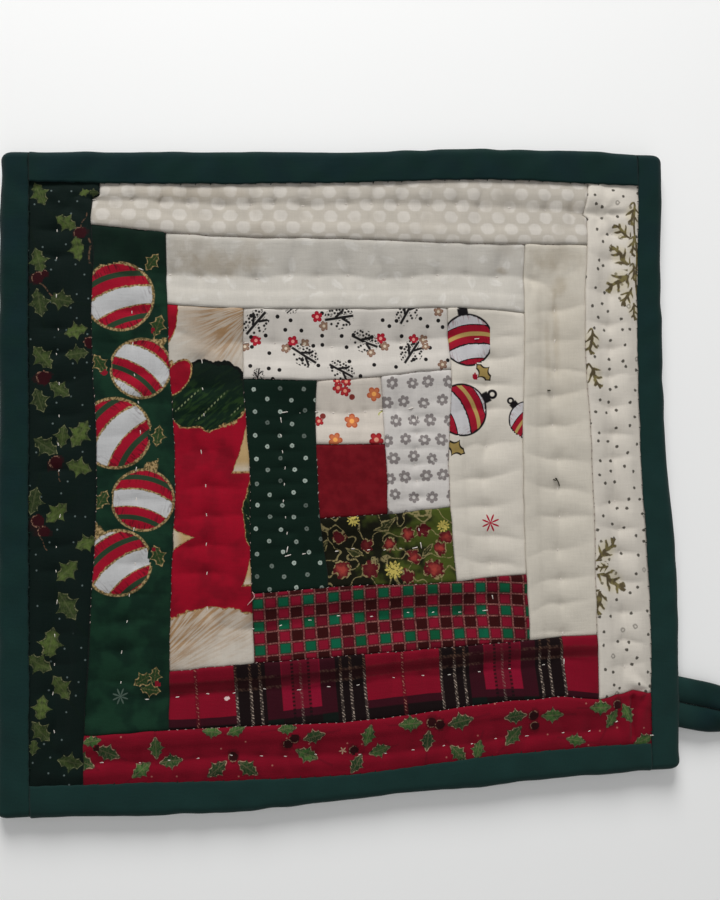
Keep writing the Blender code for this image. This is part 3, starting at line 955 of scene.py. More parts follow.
def draw_lattice(x, y, step, row, shift, jitter):
    line = whole(y / row)
    across = x / step + shift * odd(line)
    cell = vector(whole(across), line)
    colour = node(x.tree, "ShaderNodeTexWhiteNoise", {"Vector": cell}, noise_dimensions="2D")[1]
    random = node(x.tree, "ShaderNodeSeparateColor", (colour,))
    u = (part(across) - 0.5) * step - jitter * (random[0] - 0.5)
    v = (part(y / row) - 0.5) * row - jitter * (random[1] - 0.5)
    return u, v, random[2]


def draw_twig(u, v):
    stem = inside(0.085 - abs(v), 0.03) * inside(0.9 - abs(u), 0.05)
    fork = inside(0.1 - abs(v - (u + 0.3) * 0.7), 0.03) * inside(0.32 - abs(u - 0.05), 0.03)
    spur = inside(0.1 - abs(v + (u - 0.1) * 0.8), 0.03) * inside(0.26 - abs(u - 0.38), 0.03)
    du, dv, chance = use(LATTICE, u.tree, u, v, 0.21, 0.2, 0.5, 0.08)
    spray = inside(0.95 - length_of(u, v / 0.75), 0.02) * inside(abs(v) - 0.14, 0.02)
    buds = inside(0.08 - length_of(du, dv), 0.03) * spray * inside(chance - 0.2, 0.01)
    return (larger(larger(stem, fork), larger(spur, buds)),)


def draw_pine(u, v):
    """A sprig with a few stout side shoots, further along on one side than on the other."""
    end = larger(1 - abs(u), 0.0) ** 0.5
    stem = inside(0.05 + end * 0.09 - abs(v + wave(u * 3) * 0.08), 0.04)
    place = part((u - abs(v) * 0.8) * 1.5 + inside(v, 0.001) * 0.45)
    shoots = inside(0.26 - abs(v) * 0.3 - abs(place - 0.5), 0.07) * inside(end * 0.66 - abs(v), 0.06)
    return (larger(stem, shoots) * inside(0.98 - abs(u), 0.03),)


SPOT = {"U": 0.0, "V": 0.0}
PETALS = node_group(
    "petals", {**SPOT, "Petals": 5.0, "Depth": 0.4, "Heart": 0.3}, ("Ink", "Rim", "Heart"), draw_petals
)
LEAF = node_group(
    "leaf",
    {**SPOT, "Width": 0.5, "Spines": 5.0, "Spine Depth": 0.35, "Rim": 0.08},
    ("Ink", "Rim", "Vein", "Glow"),
    draw_leaf,
)
LATTICE = node_group(
    "lattice",
    {"X": 0.0, "Y": 0.0, "Step": 4.0, "Row": 4.0, "Shift": 0.5, "Jitter": 0.0},
    ("U", "V", "Chance"),
    draw_lattice,
)
TWIG = node_group("twig", SPOT, ("Ink",), draw_twig)
PINE = node_group("pine", SPOT, ("Ink",), draw_pine)
print("drawing groups", {group.name: len(group.nodes) for group in (PETALS, LEAF, LATTICE, TWIG, PINE)})

# %% [markdown]
# ## The cotton itself
# Under every print lies the same cloth: a plain weave of about 27 threads to the centimetre, with thicker
# threads here and there, and colour that has worn a little unevenly. At this size a thread is too small to
# be geometry, so a group gives its height for bump and its tone for the colour, with painted shade in
# the weave's low places.

# %% The weave and the worn colour
WARP = 0.37  # from thread to thread, in mm


def draw_cotton(colour, cloth, thread, wear):
    x, y, _ = node(cloth.tree, "ShaderNodeSeparateXYZ", (cloth,))
    column, row = x / thread, y / thread
    over = odd(whole(column) + whole(row))
    upright, level = abs(wave(column * math.pi)), abs(wave(row * math.pi))
    height = over * upright * (0.5 + level * 0.5) + (1 - over) * level * (0.5 + upright * 0.5)
    slubs = noise(vector(x / 9, y), 0.5) + noise(vector(x, y / 9), 0.5) - 1
    cloud = noise(cloth, 9.0, 3.0) - 0.5
    # the weave's low places come out darker: painted shade between the threads
    tone = 1 + (height - 0.5) * 0.06 + slubs * 0.07 + cloud * wear
    grey = node(cloth.tree, "ShaderNodeCombineColor", (tone, tone, tone))[0]
    fuzz = noise(cloth, 0.25, 1.0)
    rough = 0.86 + (fuzz - 0.5) * 0.12 + slubs * 0.1
    return paint(colour, grey, 1, "MULTIPLY"), rough, height * 0.03 + slubs * 0.035 + fuzz * 0.012


COTTON = node_group(
    "cotton",
    {"Colour": (0.5, 0.5, 0.5), "Cloth": "", "Thread": WARP, "Wear": 0.2},
    ("Colour", "Roughness", "Height"),
    draw_cotton,
)


class Cotton:
    """A cotton for one patch: its material, the numbers its print is worked out from, and its colour."""

    def __init__(self, name, ground=None):
        soft = {"Specular IOR Level": 0.12, "Sheen Weight": 0.05, "Sheen Roughness": 0.5}
        self.material, self.shader = principled(name, soft)
        self.tree, self.colour = self.material.node_tree, ground
        self.cloth, self.x, self.y = self.spread("cloth")
        _, self.u, self.v = self.spread("motif")
        self.kind, self.tone = (
            node(self.tree, "ShaderNodeAttribute", attribute_name=title)[2] for title in ("kind", "tone")
        )

    def spread(self, uv_map):
        place = node(self.tree, "ShaderNodeUVMap", uv_map=uv_map)[0]
        return place, *node(self.tree, "ShaderNodeSeparateXYZ", (place,))[:2]

    def only(self, kind):
        """1 on the faces whose nearest mark is of this kind."""
        return math_node("COMPARE", self.kind, float(KINDS.index(kind)), 0.5)

    def radius(self):
        return length_of(self.u, self.v)

    def use(self, group, *values):
        return use(group, self.tree, *values)

    def petals(self, *shape):
        return self.use(PETALS, self.u, self.v, *shape)

    def lattice(self, *rule):
        return self.use(LATTICE, self.x, self.y, *rule)

    def cloud(self, size, low, high):
        """A cloudy mask: 0 where the noise is below low, 1 where it is above high."""
        return fade(noise(self.cloth, size), low, high)

    def ragged(self, size, amount):
        """Small cloudy shifts, to make an outline uneven."""
        return (noise(self.cloth, size) - 0.5) * amount

    def ruffled(self, size, amount):
        """A mark's own coordinates, pushed about by clouds of a size in mm, so that copies aren't alike."""
        shifts = [noise(self.cloth, size), noise(vector(self.y + 37.0, self.x), size)]
        return [place + (shift - 0.5) * amount for place, shift in zip((self.u, self.v), shifts)]

    def ink(self, colour, mask):
        """Prints a colour over the cotton where the mask is 1."""
        self.colour = paint(self.colour, colour, mask)

    def berries(self, colour):
        self.ink(colour, inside(1 - self.radius()) * self.only("berry"))

    def finish(self, wear=0.2):
        colour, rough, height = self.use(COTTON, self.colour, self.cloth, WARP, wear)
        bump = node(self.tree, "ShaderNodeBump", {"Distance": MM, "Height": height})[0]
        for title, value in {"Base Color": colour, "Roughness": rough, "Normal": bump}.items():
            join(value, self.shader.inputs[title])
        return self.material


print("the cotton group has", len(COTTON.nodes), "nodes")

# %% [markdown]
# ## Marks that are printed at a place
# Dots and checks repeat by rule, but sprays of holly don't. Those are printed marks with a place, a size and
# a turn. Each face of a patch is told which mark lies nearest, and gets a second UV map that starts at that
# mark, so that one drawing serves every copy. The places are read off the picture with `on_face`.

# %% Marks on a patch
KINDS = ("none", "leaf", "berry", "red", "tan", "twig", "pine", "star", "bauble", "petal", "gold")


def marks_of(*runs):
    """Marks (kind, u, v, size in mm, turn in degrees), from runs that name their kind once. The mark's middle
    is seen at pixel (u, v)."""
    return [(kind, *place) for kind, *places in runs for place in places]


def print_marks(piece, marks, seed):
    """Tells each face of a patch which mark lies nearest, and starts its motif there."""
    mesh = piece.data
    count = len(mesh.polygons)
    centres, corners = np.empty(count * 3), np.empty(count * 4, int)
    mesh.polygons.foreach_get("center", centres)
    mesh.loops.foreach_get("vertex_index", corners)
    points = np.empty(len(mesh.vertices) * 3)
    mesh.vertices.foreach_get("co", points)
    points = points.reshape(-1, 3)[corners].reshape(count, 4, 3)[..., :2] / MM
    places = np.array([on_face(u, v) for _, u, v, _, _ in marks])
    sizes = np.array([size for _, _, _, size, _ in marks])
    turns = np.radians([turn for *_, turn in marks])
    gaps = np.linalg.norm(centres.reshape(-1, 1, 3)[..., :2] / MM - places, axis=2) / sizes
    nearest = gaps.argmin(axis=1)
    offset = (points - places[nearest][:, None]) / sizes[nearest][:, None, None]
    cos, sin = np.cos(turns[nearest])[:, None], np.sin(turns[nearest])[:, None]
    local = np.stack(spun(offset[..., 0], offset[..., 1], cos, sin), -1)
    mesh.uv_layers.new(name="motif").data.foreach_set("uv", local.astype(np.float32).ravel())
    numbers = np.array([KINDS.index(kind) for kind, *_ in marks], float)
    tones = np.random.default_rng(seed).uniform(0, 1, len(marks))
    for name, values in (("kind", numbers), ("tone", tones)):
        attribute = mesh.attributes.new(name, "FLOAT", "FACE")
        attribute.data.foreach_set("value", values[nearest].astype(np.float32))
    mesh.uv_layers["cloth"].active_render = True


print("kinds of mark", KINDS)

# %% Holly prints
RED_HOLLY = marks_of(
    ("leaf", (80, 762, 4.6, -28), (107, 753, 4.2, -25), (92, 741, 2.9, 8)), ("berry", (97, 747, 1.4, 0)),
    ("leaf", (156, 748, 3.6, 92), (141, 771, 3.6, 38), (171, 762, 3.6, 6), (212, 731, 3.0, -8),
        (236, 730, 3.0, 20), (217, 770, 3.8, 38)),
    ("berry", (233, 758, 1.5, 0)), ("leaf", (248, 769, 3.8, -38), (287, 728, 3.0, 4)),
    ("berry", (294, 738, 1.6, 0), (288, 744, 1.5, 0)),
    ("leaf", (314, 736, 3.6, 12), (307, 755, 3.9, -26), (368, 735, 3.6, 74), (380, 751, 3.6, 16),
        (357, 765, 3.4, 58)),
    ("berry", (354, 751, 1.5, 0)), ("star", (343, 751, 1.2, 10)),
    ("leaf", (410, 723, 3.9, 2), (428, 741, 3.5, 84), (460, 721, 4.3, 12)),
    ("berry", (431, 722, 1.6, 0), (439, 724, 1.6, 0)),
    ("leaf", (459, 754, 3.6, -46), (479, 751, 3.4, 76), (515, 716, 3.8, 6), (552, 715, 3.8, 0),
        (514, 736, 4.0, 48)),
    ("berry", (533, 715, 1.6, 0), (535, 726, 1.4, 0)),
    ("leaf", (577, 741, 3.3, -12), (600, 707, 3.8, -2), (613, 719, 3.5, 58), (629, 714, 3.6, -62)),
    ("berry", (618, 705, 1.5, 0)), ("leaf", (645, 741, 3.6, 20)),
)
GREEN_HOLLY = marks_of(
    ("leaf", (39, 193, 4.0, -66), (66, 222, 3.8, -32), (78, 249, 4.2, -80)), ("berry", (80, 233, 2.0, 0)),
    ("leaf", (38, 260, 4.2, -76)), ("berry", (37, 277, 1.9, 0)),
    ("leaf", (39, 302, 4.6, -80), (60, 299, 4.4, -14), (76, 331, 3.8, 12), (77, 354, 3.8, 4)),
    ("berry", (90, 343, 1.8, 0)), ("leaf", (42, 357, 4.4, -52)), ("berry", (43, 377, 2.2, 0)),
    ("leaf", (59, 389, 3.8, -34), (39, 400, 4.0, -72), (45, 446, 4.3, -34), (62, 436, 3.6, 80),
        (80, 434, 4.8, 58), (79, 467, 4.2, -18)),
    ("berry", (55, 462, 2.0, 0)), ("leaf", (33, 501, 4.4, 76), (56, 513, 4.2, 42)),
    ("berry", (37, 521, 2.0, 0), (43, 532, 1.8, 0)),
    ("leaf", (87, 543, 3.8, 22), (67, 571, 4.4, 42), (67, 606, 5.0, -58), (50, 644, 5.0, 80),
        (38, 664, 4.4, -30), (61, 688, 4.4, -56), (41, 709, 4.0, 82), (40, 732, 4.0, -50),
        (33, 748, 2.6, 80), (70, 763, 4.0, -12), (84, 192, 1.8, 20), (93, 192, 1.8, -5)),
    ("gold", (47, 290, 3.2, -38), (90, 252, 4.2, -80), (84, 220, 2.4, 74), (58, 476, 1.8, -68),
        (43, 544, 2.2, -58)),
    ("berry", (44, 273, 1.1, 0)),
)


def holly(name, ground, leaf, dark_leaf, shade, rim, berry, dot, dot_step, shape):
    """Holly leaves and berries with thin broken edges, with pin dots between."""
    cotton = Cotton(name, ground)
    du, dv, chance = cotton.lattice(dot_step, dot_step * 0.8, 0.5, dot_step * 0.6)
    cotton.ink(dot, inside(0.26 - length_of(du, dv), 0.14) * inside(chance - 0.4, 0.01))
    broken = cotton.cloud(0.9, 0.36, 0.58)
    ink, edge, vein, glow = cotton.use(LEAF, cotton.u, cotton.v, *shape)
    leaves, berries = cotton.only("leaf"), cotton.only("berry")
    cotton.ink(shade, fade(glow, 0.0, 0.6) * leaves * 0.5)
    lit = fade(glow + noise(cotton.cloth, 1.5) - 0.5, 0.5, 1.2) * (1 - fade(cotton.tone, 0.2, 1.0) * 0.8)
    near_side = fade(cotton.v + cotton.tone - 0.5, -0.3, 0.3) * 0.6 + 0.4
    hatch = fade(noise(vector(cotton.x * 3, cotton.y * 0.8), 1.0), 0.55, 0.7) * 0.2
    lines = larger(larger(vein * 0.2, hatch), edge * broken * near_side)
    cotton.ink(paint(paint(dark_leaf, leaf, lit), rim, lines), ink * leaves)
    radius = cotton.radius() + cotton.ragged(0.8, 0.3)
    cotton.ink(berry, fade(radius, 2.3, 0.9) * berries * 0.5)
    crescent = inside(radius - 0.8, 0.08) * fade(cotton.u + cotton.v * (cotton.tone - 0.5) * 3, 0.3, -0.3)
    tan, stem = dye(140, 108, 88), dye(104, 76, 58)
    berry_colour = paint(berry, tan, crescent * cotton.cloud(0.6, 0.35, 0.55) * 0.8)
    cotton.ink(berry_colour, inside(0.98 - radius) * berries)
    stalk = inside(0.06 - abs(cotton.v + wave(cotton.u * 2.5) * 0.15), 0.05) * inside(1 - abs(cotton.u))
    cotton.ink(stem, stalk * broken * cotton.only("gold") * 0.8)
    cotton.ink(rim, cotton.petals(5.0, 0.8, 0.2)[0] * cotton.only("star"))
    return cotton.finish()


def red_holly():
    return holly(
        "red_holly_cotton", dye(118, 15, 33), dye(64, 98, 48), dye(29, 46, 30), dye(84, 14, 28),
        dye(166, 136, 112), dye(44, 12, 18), dye(160, 98, 88), 9.0, (0.66, 4.4, 0.3, 0.085),
    )


def green_holly():
    return holly(
        "green_holly_cotton", dye(12, 27, 24), dye(78, 94, 46), dye(31, 41, 26), dye(14, 28, 20),
        dye(116, 116, 84), dye(46, 16, 20), dye(92, 104, 102), 5.6, (0.74, 3.4, 0.4, 0.07),
    )


print("holly marks", len(RED_HOLLY) + len(GREEN_HOLLY))

# %% [markdown]
# ## Little flowers
# Small flowers are printed from a roller, in rows. Where the rows show, the group for staggered rows draws
# them all at once. Where the flowers are thrown about, each is a placed mark, and one drawing of petals
# serves them all.

# %% Little flower prints
POSIES = marks_of(
    ("red", (338, 388, 1.8, 10), (345, 391, 1.8, 40), (346, 382, 1.7, 70), (337, 381, 1.3, 0)),
    ("tan", (374, 394, 2.3, 15), (352, 421, 2.4, 50), (335, 440, 2.3, 30)),
    ("red", (376, 440, 2.4, 20), (319, 421, 1.6, 0)), ("berry", (352, 397, 0.9, 0), (323, 416, 0.9, 0)),
    ("gold", (381, 412, 1.2, 60)),
)
SPRIGS = marks_of(
    ("twig", (256, 323, 5.0, 48), (339, 318, 5.0, 8), (407, 312, 4.8, 60), (365, 341, 4.9, -24),
        (304, 355, 5.0, -34), (412, 352, 4.8, 55), (341, 371, 4.6, -30), (292, 309, 2.4, 40),
        (258, 376, 2.6, 80)),
    ("red", (256, 340, 1.8, 0), (293, 341, 1.8, 30), (317, 317, 1.8, 60), (381, 338, 1.8, 20),
        (414, 339, 1.7, 45)),
    ("tan", (245, 346, 1.6, 0), (286, 348, 1.6, 30), (305, 343, 1.6, 10), (324, 326, 1.6, 0),
        (385, 346, 1.6, 50), (371, 352, 1.6, 15), (424, 339, 1.6, 5), (426, 346, 1.4, 25),
        (438, 312, 1.6, 45), (442, 365, 1.6, 0)),
)
FLOWER_PETALS, FLOWER_DEPTH = 5.0, 0.42


def flowers(cotton, heart_size, kinds):
    """Five-petalled flowers. kinds gives the colours of petal, edge and heart for each kind of mark."""
    ink, rim, heart = cotton.petals(FLOWER_PETALS, FLOWER_DEPTH, heart_size)
    for kind, petal, edge, middle in kinds:
        cotton.ink(paint(paint(petal, edge, rim), middle, heart), ink * cotton.only(kind))


def posies():
    """Red and orange five-petalled flowers on cream."""
    cotton = Cotton("posy_cotton", dye(198, 189, 178))
    kinds = [
        ("red", dye(165, 45, 48), dye(140, 30, 38), dye(215, 150, 125)),
        ("tan", dye(192, 110, 72), dye(170, 85, 55), dye(235, 165, 90)),
    ]
    flowers(cotton, 0.3, kinds)
    cotton.berries(dye(120, 50, 45))
    stalk = inside(0.16 - abs(cotton.v + wave(cotton.u * 3) * 0.2)) * inside(1 - abs(cotton.u))
    cotton.ink(dye(165, 165, 80), stalk * cotton.only("gold"))
    return cotton.finish(wear=0.12)


def sprigs():
    """Black twigs with buds, red and tan flowers and scattered dots on cream."""
    cotton = Cotton("sprig_cotton", dye(197, 191, 183))
    du, dv, chance = cotton.lattice(5.6, 5.0, 0.5, 3.6)
    black = dye(32, 30, 30)
    cotton.ink(black, inside(0.62 - length_of(du, dv)) * inside(chance - 0.1, 0.01))
    cotton.ink(black, cotton.use(TWIG, cotton.u, cotton.v)[0] * cotton.only("twig"))
    kinds = [
        ("red", dye(165, 32, 48), dye(145, 25, 40), dye(225, 150, 140)),
        ("tan", dye(138, 112, 94), dye(120, 84, 70), dye(200, 186, 165)),
    ]
    flowers(cotton, 0.28, kinds)
    return cotton.finish(wear=0.1)


def grey_flowers():
    """Grey ring flowers in staggered rows on white."""
    cotton = Cotton("grey_flower_cotton", dye(197, 192, 187))
    du, dv, chance = cotton.lattice(5.8, 5.9, 0.42, 1.3)
    size = 1.95
    spin, squash = chance * 6.0, 0.85 + chance * 0.3
    lean, side = spun(du, dv, cosine(spin), wave(spin))
    ink, _, heart = cotton.use(PETALS, lean / (squash * size), side / size, 6.0, 0.4, 0.3)
    cotton.ink(dye(126, 119, 117), ink * (1 - heart) * cotton.cloud(1.2, 0.15, 0.4))
    return cotton.finish(wear=0.1)


def pin_dots():
    """Off-white ring dots in staggered columns on dark green, some of them worn away."""
    cotton = Cotton("pin_dot_cotton", dye(17, 33, 26))
    dv, du, chance = cotton.use(LATTICE, cotton.y, cotton.x, 7.2, 3.8, 0.5, 0.9)
    radius = length_of(du, dv) + cotton.ragged(0.6, 0.3)
    ring = inside(0.66 - radius, 0.1) * (1 - inside(0.2 - radius, 0.12) * 0.7)
    cotton.ink(dye(160, 172, 162), ring * (fade(chance, 0.0, 0.7) * 0.75 + 0.25))
    return cotton.finish(wear=0.25)


print("flowers and sprigs", len(POSIES) + len(SPRIGS))

# %% [markdown]
# ## Checks and tartan
# A woven check is ruled by two counts, across and up. These strips were cut a little off the grain and then
# pulled by the quilting, so their rows bend. `above_line` measures the height above a row that passes
# through a few places.

# %% Checks
GRID_ROW = [(259, 627), (310, 623), (359, 618), (407, 612), (458, 612), (506, 610)]
GRID_CELL = 3.845, 3.52
TARTAN_MIDDLE, TARTAN_REPEAT = (301, 690), 62.8
LOW_BAND = [(170, 720), (285, 709), (400, 699), (500, 687), (569, 690), (592, 693)]
BROWN_BAND = [(175, 690), (240, 683), (340, 676), (400, 669), (446, 660), (500, 656), (560, 652), (595, 651)]


def above_line(cotton, places, degree=3):
    """Height in mm above a smooth line through places in the picture, as a polynomial in X."""
    points = np.array([on_face(*place) for place in places])
    reach = 50.0
    terms = np.polyfit(points[:, 0] / reach, points[:, 1], degree)
    line, x = float(terms[0]), cotton.x / reach
    for term in terms[1:]:
        line = x * line + float(term)
    return cotton.y - line


def gold_grid():
    """Small green, red and maroon squares in a thin gold grid."""
    cotton = Cotton("gold_grid_cotton")
    up = above_line(cotton, GRID_ROW)
    start, _ = on_face(*GRID_ROW[0])
    across = (cotton.x + up * 0.03 - start) / GRID_CELL[0] + 0.5
    up = up / GRID_CELL[1] + 0.5
    odd_column, odd_row = odd(whole(across)), odd(whole(up))
    shade = fade(noise(vector(whole(across) * 3.7, whole(up) * 2.9), 1.0), 0.3, 0.7)
    red = paint(dye(130, 21, 42), dye(92, 15, 30), shade)
    plain = paint(paint(dye(14, 88, 62), dye(16, 74, 46), shade), red, odd_column)
    cotton.colour = paint(plain, paint(red, dye(50, 12, 16), odd_column), odd_row)
    near_line = smaller(0.5 - abs(part(across) - 0.5), 0.5 - abs(part(up) - 0.5))
    cotton.ink(dye(40, 14, 16), fade(near_line, 0.19, 0.09) * 0.6)
    gilt = paint(dye(96, 54, 52), dye(136, 90, 82), cotton.cloud(0.5, 0.45, 0.65))
    cotton.ink(gilt, fade(near_line, 0.085, 0.04) * cotton.cloud(1.6, 0.2, 0.45))
    return cotton.finish()


def tartan():
    """Broad red blocks, dark bands with twisted gilt threads, and a red band with two black lines."""
    cotton = Cotton("tartan_cotton", dye(118, 15, 34))
    start, _ = on_face(*TARTAN_MIDDLE)
    band_up, up = above_line(cotton, LOW_BAND), above_line(cotton, BROWN_BAND)
    across = cotton.x + up * 0.05 - start
    d = abs(across - whole(across / TARTAN_REPEAT + 0.5) * TARTAN_REPEAT)  # mm from a red block's middle
    dark = inside(d - 5.9, 0.2) * inside(20.0 - d, 0.15)
    beads = 0.6 + 0.4 * wave(up * 5.5)
    black = larger(inside(0.42 - abs(d - 2.5), 0.15) * beads, inside(d - 10.6, 0.2) * inside(19.6 - d, 0.2))
    low_band, low_black = inside(0.0 - band_up, 0.15), inside(-2.3 - band_up, 0.3)
    top_edge = fade(up, -2.4, 0.6) * inside(5.7 - d, 0.3)
    cotton.ink(dye(124, 18, 41), inside(5.9 - d, 0.3))
    cotton.ink(dye(102, 19, 36), inside(2.4 - d, 0.3))
    cotton.ink(dye(84, 15, 30), top_edge * 0.8)
    cotton.ink(dye(38, 13, 23), larger(dark, low_band) * 0.92)
    cotton.ink(dye(20, 9, 12), larger(black, low_black) * 0.92)
    cotton.ink(dye(10, 26, 22), dark * low_black * (1 - black) * 0.8)
    cotton.ink(dye(40, 15, 15), inside(1.7 - abs(up), 0.5) * (0.42 + dark * 0.1))
    side = fade(abs(part(across / 1.1 + up * 0.6) - 0.5), 0.34, 0.16) * cotton.cloud(0.8, 0.3, 0.55)
    thread = inside(0.45 - abs(abs(up) - 1.7), 0.2) * (0.3 + side * 0.5) * (0.15 + dark * 0.75)
    cotton.ink(dye(92, 68, 56), thread * cotton.cloud(1.4, 0.3, 0.6) * 0.8)
    lines = smaller(smaller(abs(d - 12.2), abs(d - 15.2)), smaller(abs(d - 19.5), abs(d)))
    slip = noise(cotton.cloth, 2.0) * 1.6
    twist = fade(abs(part(up / 1.05 + across * 0.9 + slip) - 0.5), 0.28, 0.12) * cotton.cloud(0.8, 0.4, 0.6)
    gilt = paint(dye(104, 78, 62), dye(166, 150, 136), fade(up, 1.5, -1.5))
    cotton.ink(gilt, inside(0.4 - lines, 0.2) * (0.08 + twist * 0.9) * (0.35 + 0.6 * dark))
    middle = abs(d - TARTAN_REPEAT / 2)
    cotton.ink(dye(76, 18, 26), inside(0.6 - middle, 0.3) * 0.5)
    cotton.ink(dye(150, 104, 88), inside(0.35 - middle, 0.1) * twist * 0.75)
    x, y = on_face(227, 699)
    fleck = length_of(cotton.x - x, (cotton.y - y) * 1.6) + (noise(cotton.cloth, 0.9) - 0.5)
    cotton.ink(dye(205, 178, 176), inside(0.85 - fleck, 0.1))
    return cotton.finish()


print("the tartan repeats every", TARTAN_REPEAT, "mm")

# %% [markdown]
# ## Creams and a plain
# The light strips look plain until we come close: dots and leaves in their own colour, and a few old stains.
# The colours of such a print lie only a few steps apart, so that the shadows of the quilting stay stronger
# than the print. A stain is a soft blob of brown at a place of its own, and the same blobs paint a soft
# shadow over the top left corner.

# %% Creams and a plain
STAINS_AND_SHADE = {
    # cotton: (u, v, width and height in mm, how strong)
    # the first two polka blobs and the first three shadow_leaf blobs are painted shadow over the top left
    # corner
    "polka_cotton": [(190, 193, 22.0, 3.2, 0.26), (262, 232, 5.0, 5.0, 0.16), (575, 205, 5.0, 2.0, 0.2)],
    "shadow_leaf_cotton": [
        (214, 264, 17.0, 5.0, 0.46), (188, 247, 10.0, 4.5, 0.24), (250, 252, 6.0, 7.0, 0.2),
        (505, 248, 6.0, 4.0, 0.12), (503, 270, 3.0, 1.5, 0.4),
    ],
    "cream_cotton": [
        (556, 257, 12.0, 5.5, 0.24), (546, 264, 5.0, 3.0, 0.16), (560, 286, 3.0, 4.5, 0.32),
        (557, 330, 1.4, 18.0, 0.24), (548, 350, 1.2, 14.0, 0.2), (562, 345, 14.0, 34.0, 0.12),
    ],
}
# brown of the stains, also used for the painted shadow blobs
STAIN_AND_SHADOW_BROWN = dye(140, 124, 100)


def stain_and_shade(cotton, brown):
    """Soft brown blobs at the places in the table: stains, and painted shadow over the top left corner."""
    for u, v, width, height, strength in STAINS_AND_SHADE[cotton.material.name]:
        x, y = on_face(u, v)
        far = length_of((cotton.x - x) / width, (cotton.y - y) / height)
        cotton.ink(brown, fade(far + cotton.ragged(3.0, 0.8), 1.1, 0.2) * strength)


def polka():
    """Off-white dots on a slightly darker cream."""
    cotton = Cotton("polka_cotton", dye(177, 170, 159))
    du, dv, _ = cotton.lattice(7.7, 3.85, 0.5, 0.3)
    dots = inside(2.1 - length_of(du, dv) + cotton.ragged(1.5, 0.8), 0.35) * cotton.cloud(8.0, 0.2, 0.55)
    cotton.ink(dye(192, 186, 177), dots)
    # brown stains, the first two of them painted shadow at the top left
    stain_and_shade(cotton, STAIN_AND_SHADOW_BROWN)
    return cotton.finish(wear=0.14)


def shadow_leaves():
    """Cream with pale leaves in its own colour."""
    cotton = Cotton("shadow_leaf_cotton", dye(190, 185, 176))
    du, dv, chance = cotton.lattice(7.4, 5.6, 0.5, 3.0)
    spin = chance * 3.0
    lean, side = spun(du, dv, cosine(spin), wave(spin))
    leaf = fade(length_of(lean / 2.6, side / 1.3) + cotton.ragged(1.6, 0.9), 1.1, 0.6)
    rib = fade(abs(side), 0.0, 0.35) * 0.4 + 0.6
    cotton.ink(dye(204, 200, 193), leaf * rib * cotton.cloud(6.0, 0.35, 0.6) * 0.75)
    # brown stains, the first three of them painted shadow at the top left
    stain_and_shade(cotton, STAIN_AND_SHADOW_BROWN)
    return cotton.finish(wear=0.1)


def plain_cream():
    """Plain cream, with a few faint brown stains."""
    cotton = Cotton("cream_cotton", dye(197, 190, 177))
    stain_and_shade(cotton, dye(148, 132, 106))
    return cotton.finish(wear=0.12)


def plain_wine():
    cotton = Cotton("wine_cotton", dye(111, 22, 30))
    cotton.ink(dye(97, 17, 25), cotton.cloud(4.0, 0.3, 0.7))
    return cotton.finish(wear=0.15)


PINES = marks_of(
    ("pine", (634, 214, 4.4, -98), (623, 231, 3.8, 140), (621, 255, 4.6, 132), (634, 246, 3.6, -92),
        (620, 281, 5.6, 217), (635, 272, 3.4, -84), (628, 296, 3.8, -118), (635, 310, 3.4, -86),
        (591, 342, 4.4, -92), (594, 376, 4.6, -62), (606, 550, 5.0, 46), (612, 581, 5.6, -32),
        (598, 602, 4.4, -92), (602, 567, 2.6, -170)),
)


def gilt_pine():
    """Gilt pine sprigs and small grey dots on off-white."""
    cotton = Cotton("gilt_pine_cotton", dye(202, 195, 184))
    du, dv, chance = cotton.lattice(4.9, 4.5, 0.5, 3.4)
    radius = length_of(du, dv) + cotton.ragged(0.8, 0.6)
    small = inside(0.5 - radius, 0.12) * inside(0.93 - chance, 0.01)
    ring = inside(0.8 - radius, 0.12) * (1 - inside(0.32 - radius, 0.12)) * inside(chance - 0.93, 0.01) * 0.6
    cotton.ink(dye(56, 52, 44), larger(small, ring) * 0.9)
    pine, = cotton.use(PINE, *cotton.ruffled(3.4, 0.3))
    here = cotton.only("pine")
    cotton.ink(dye(196, 184, 148), fade(length_of(cotton.u, cotton.v * 1.2), 1.0, 0.4) * here * 0.4)
    gilt = paint(dye(84, 74, 54), dye(116, 106, 68), cotton.cloud(2.0, 0.42, 0.66))
    (x, top), (_, low) = on_face(635.5, 208), on_face(635.5, 319)
    sway = wave(cotton.y * 0.35) * 0.35
    between = inside(top - cotton.y, 0.2) * inside(cotton.y - low, 0.2)
    edge_stem = inside(0.36 - abs(cotton.x - x + sway), 0.12) * between
    cotton.ink(gilt, larger(pine * here, edge_stem))
    return cotton.finish(wear=0.1)


print("stains", {name: len(places) for name, places in STAINS_AND_SHADE.items()})

# %% [markdown]
# ## Blossoms
# This ground runs from near black to yellow green, and its blossoms are outlined in gilt ink. Gilt never
# covers well, so a fine noise breaks up each outline before it is painted.

# %% Blossoms in gilt
BLOSSOMS = marks_of(
    ("red", (339, 537, 2.3, 20), (367, 546, 2.3, 0), (390, 544, 2.4, 40), (408, 534, 2.5, 10),
        (423, 530, 2.3, 50), (414, 557, 2.5, 30), (342, 570, 3.1, 0), (370, 569, 2.9, 60),
        (434, 569, 3.3, 15), (408, 577, 2.5, 0), (446, 537, 2.4, 25), (440, 548, 2.5, 70)),
    ("gold", (443, 526, 2.0, 0), (394, 570, 2.9, 30), (353, 520, 2.0, 10)),
    ("leaf", (323, 548, 3.0, 60), (385, 525, 4.2, 24), (354, 552, 3.4, -20), (428, 550, 2.8, 50)),
)


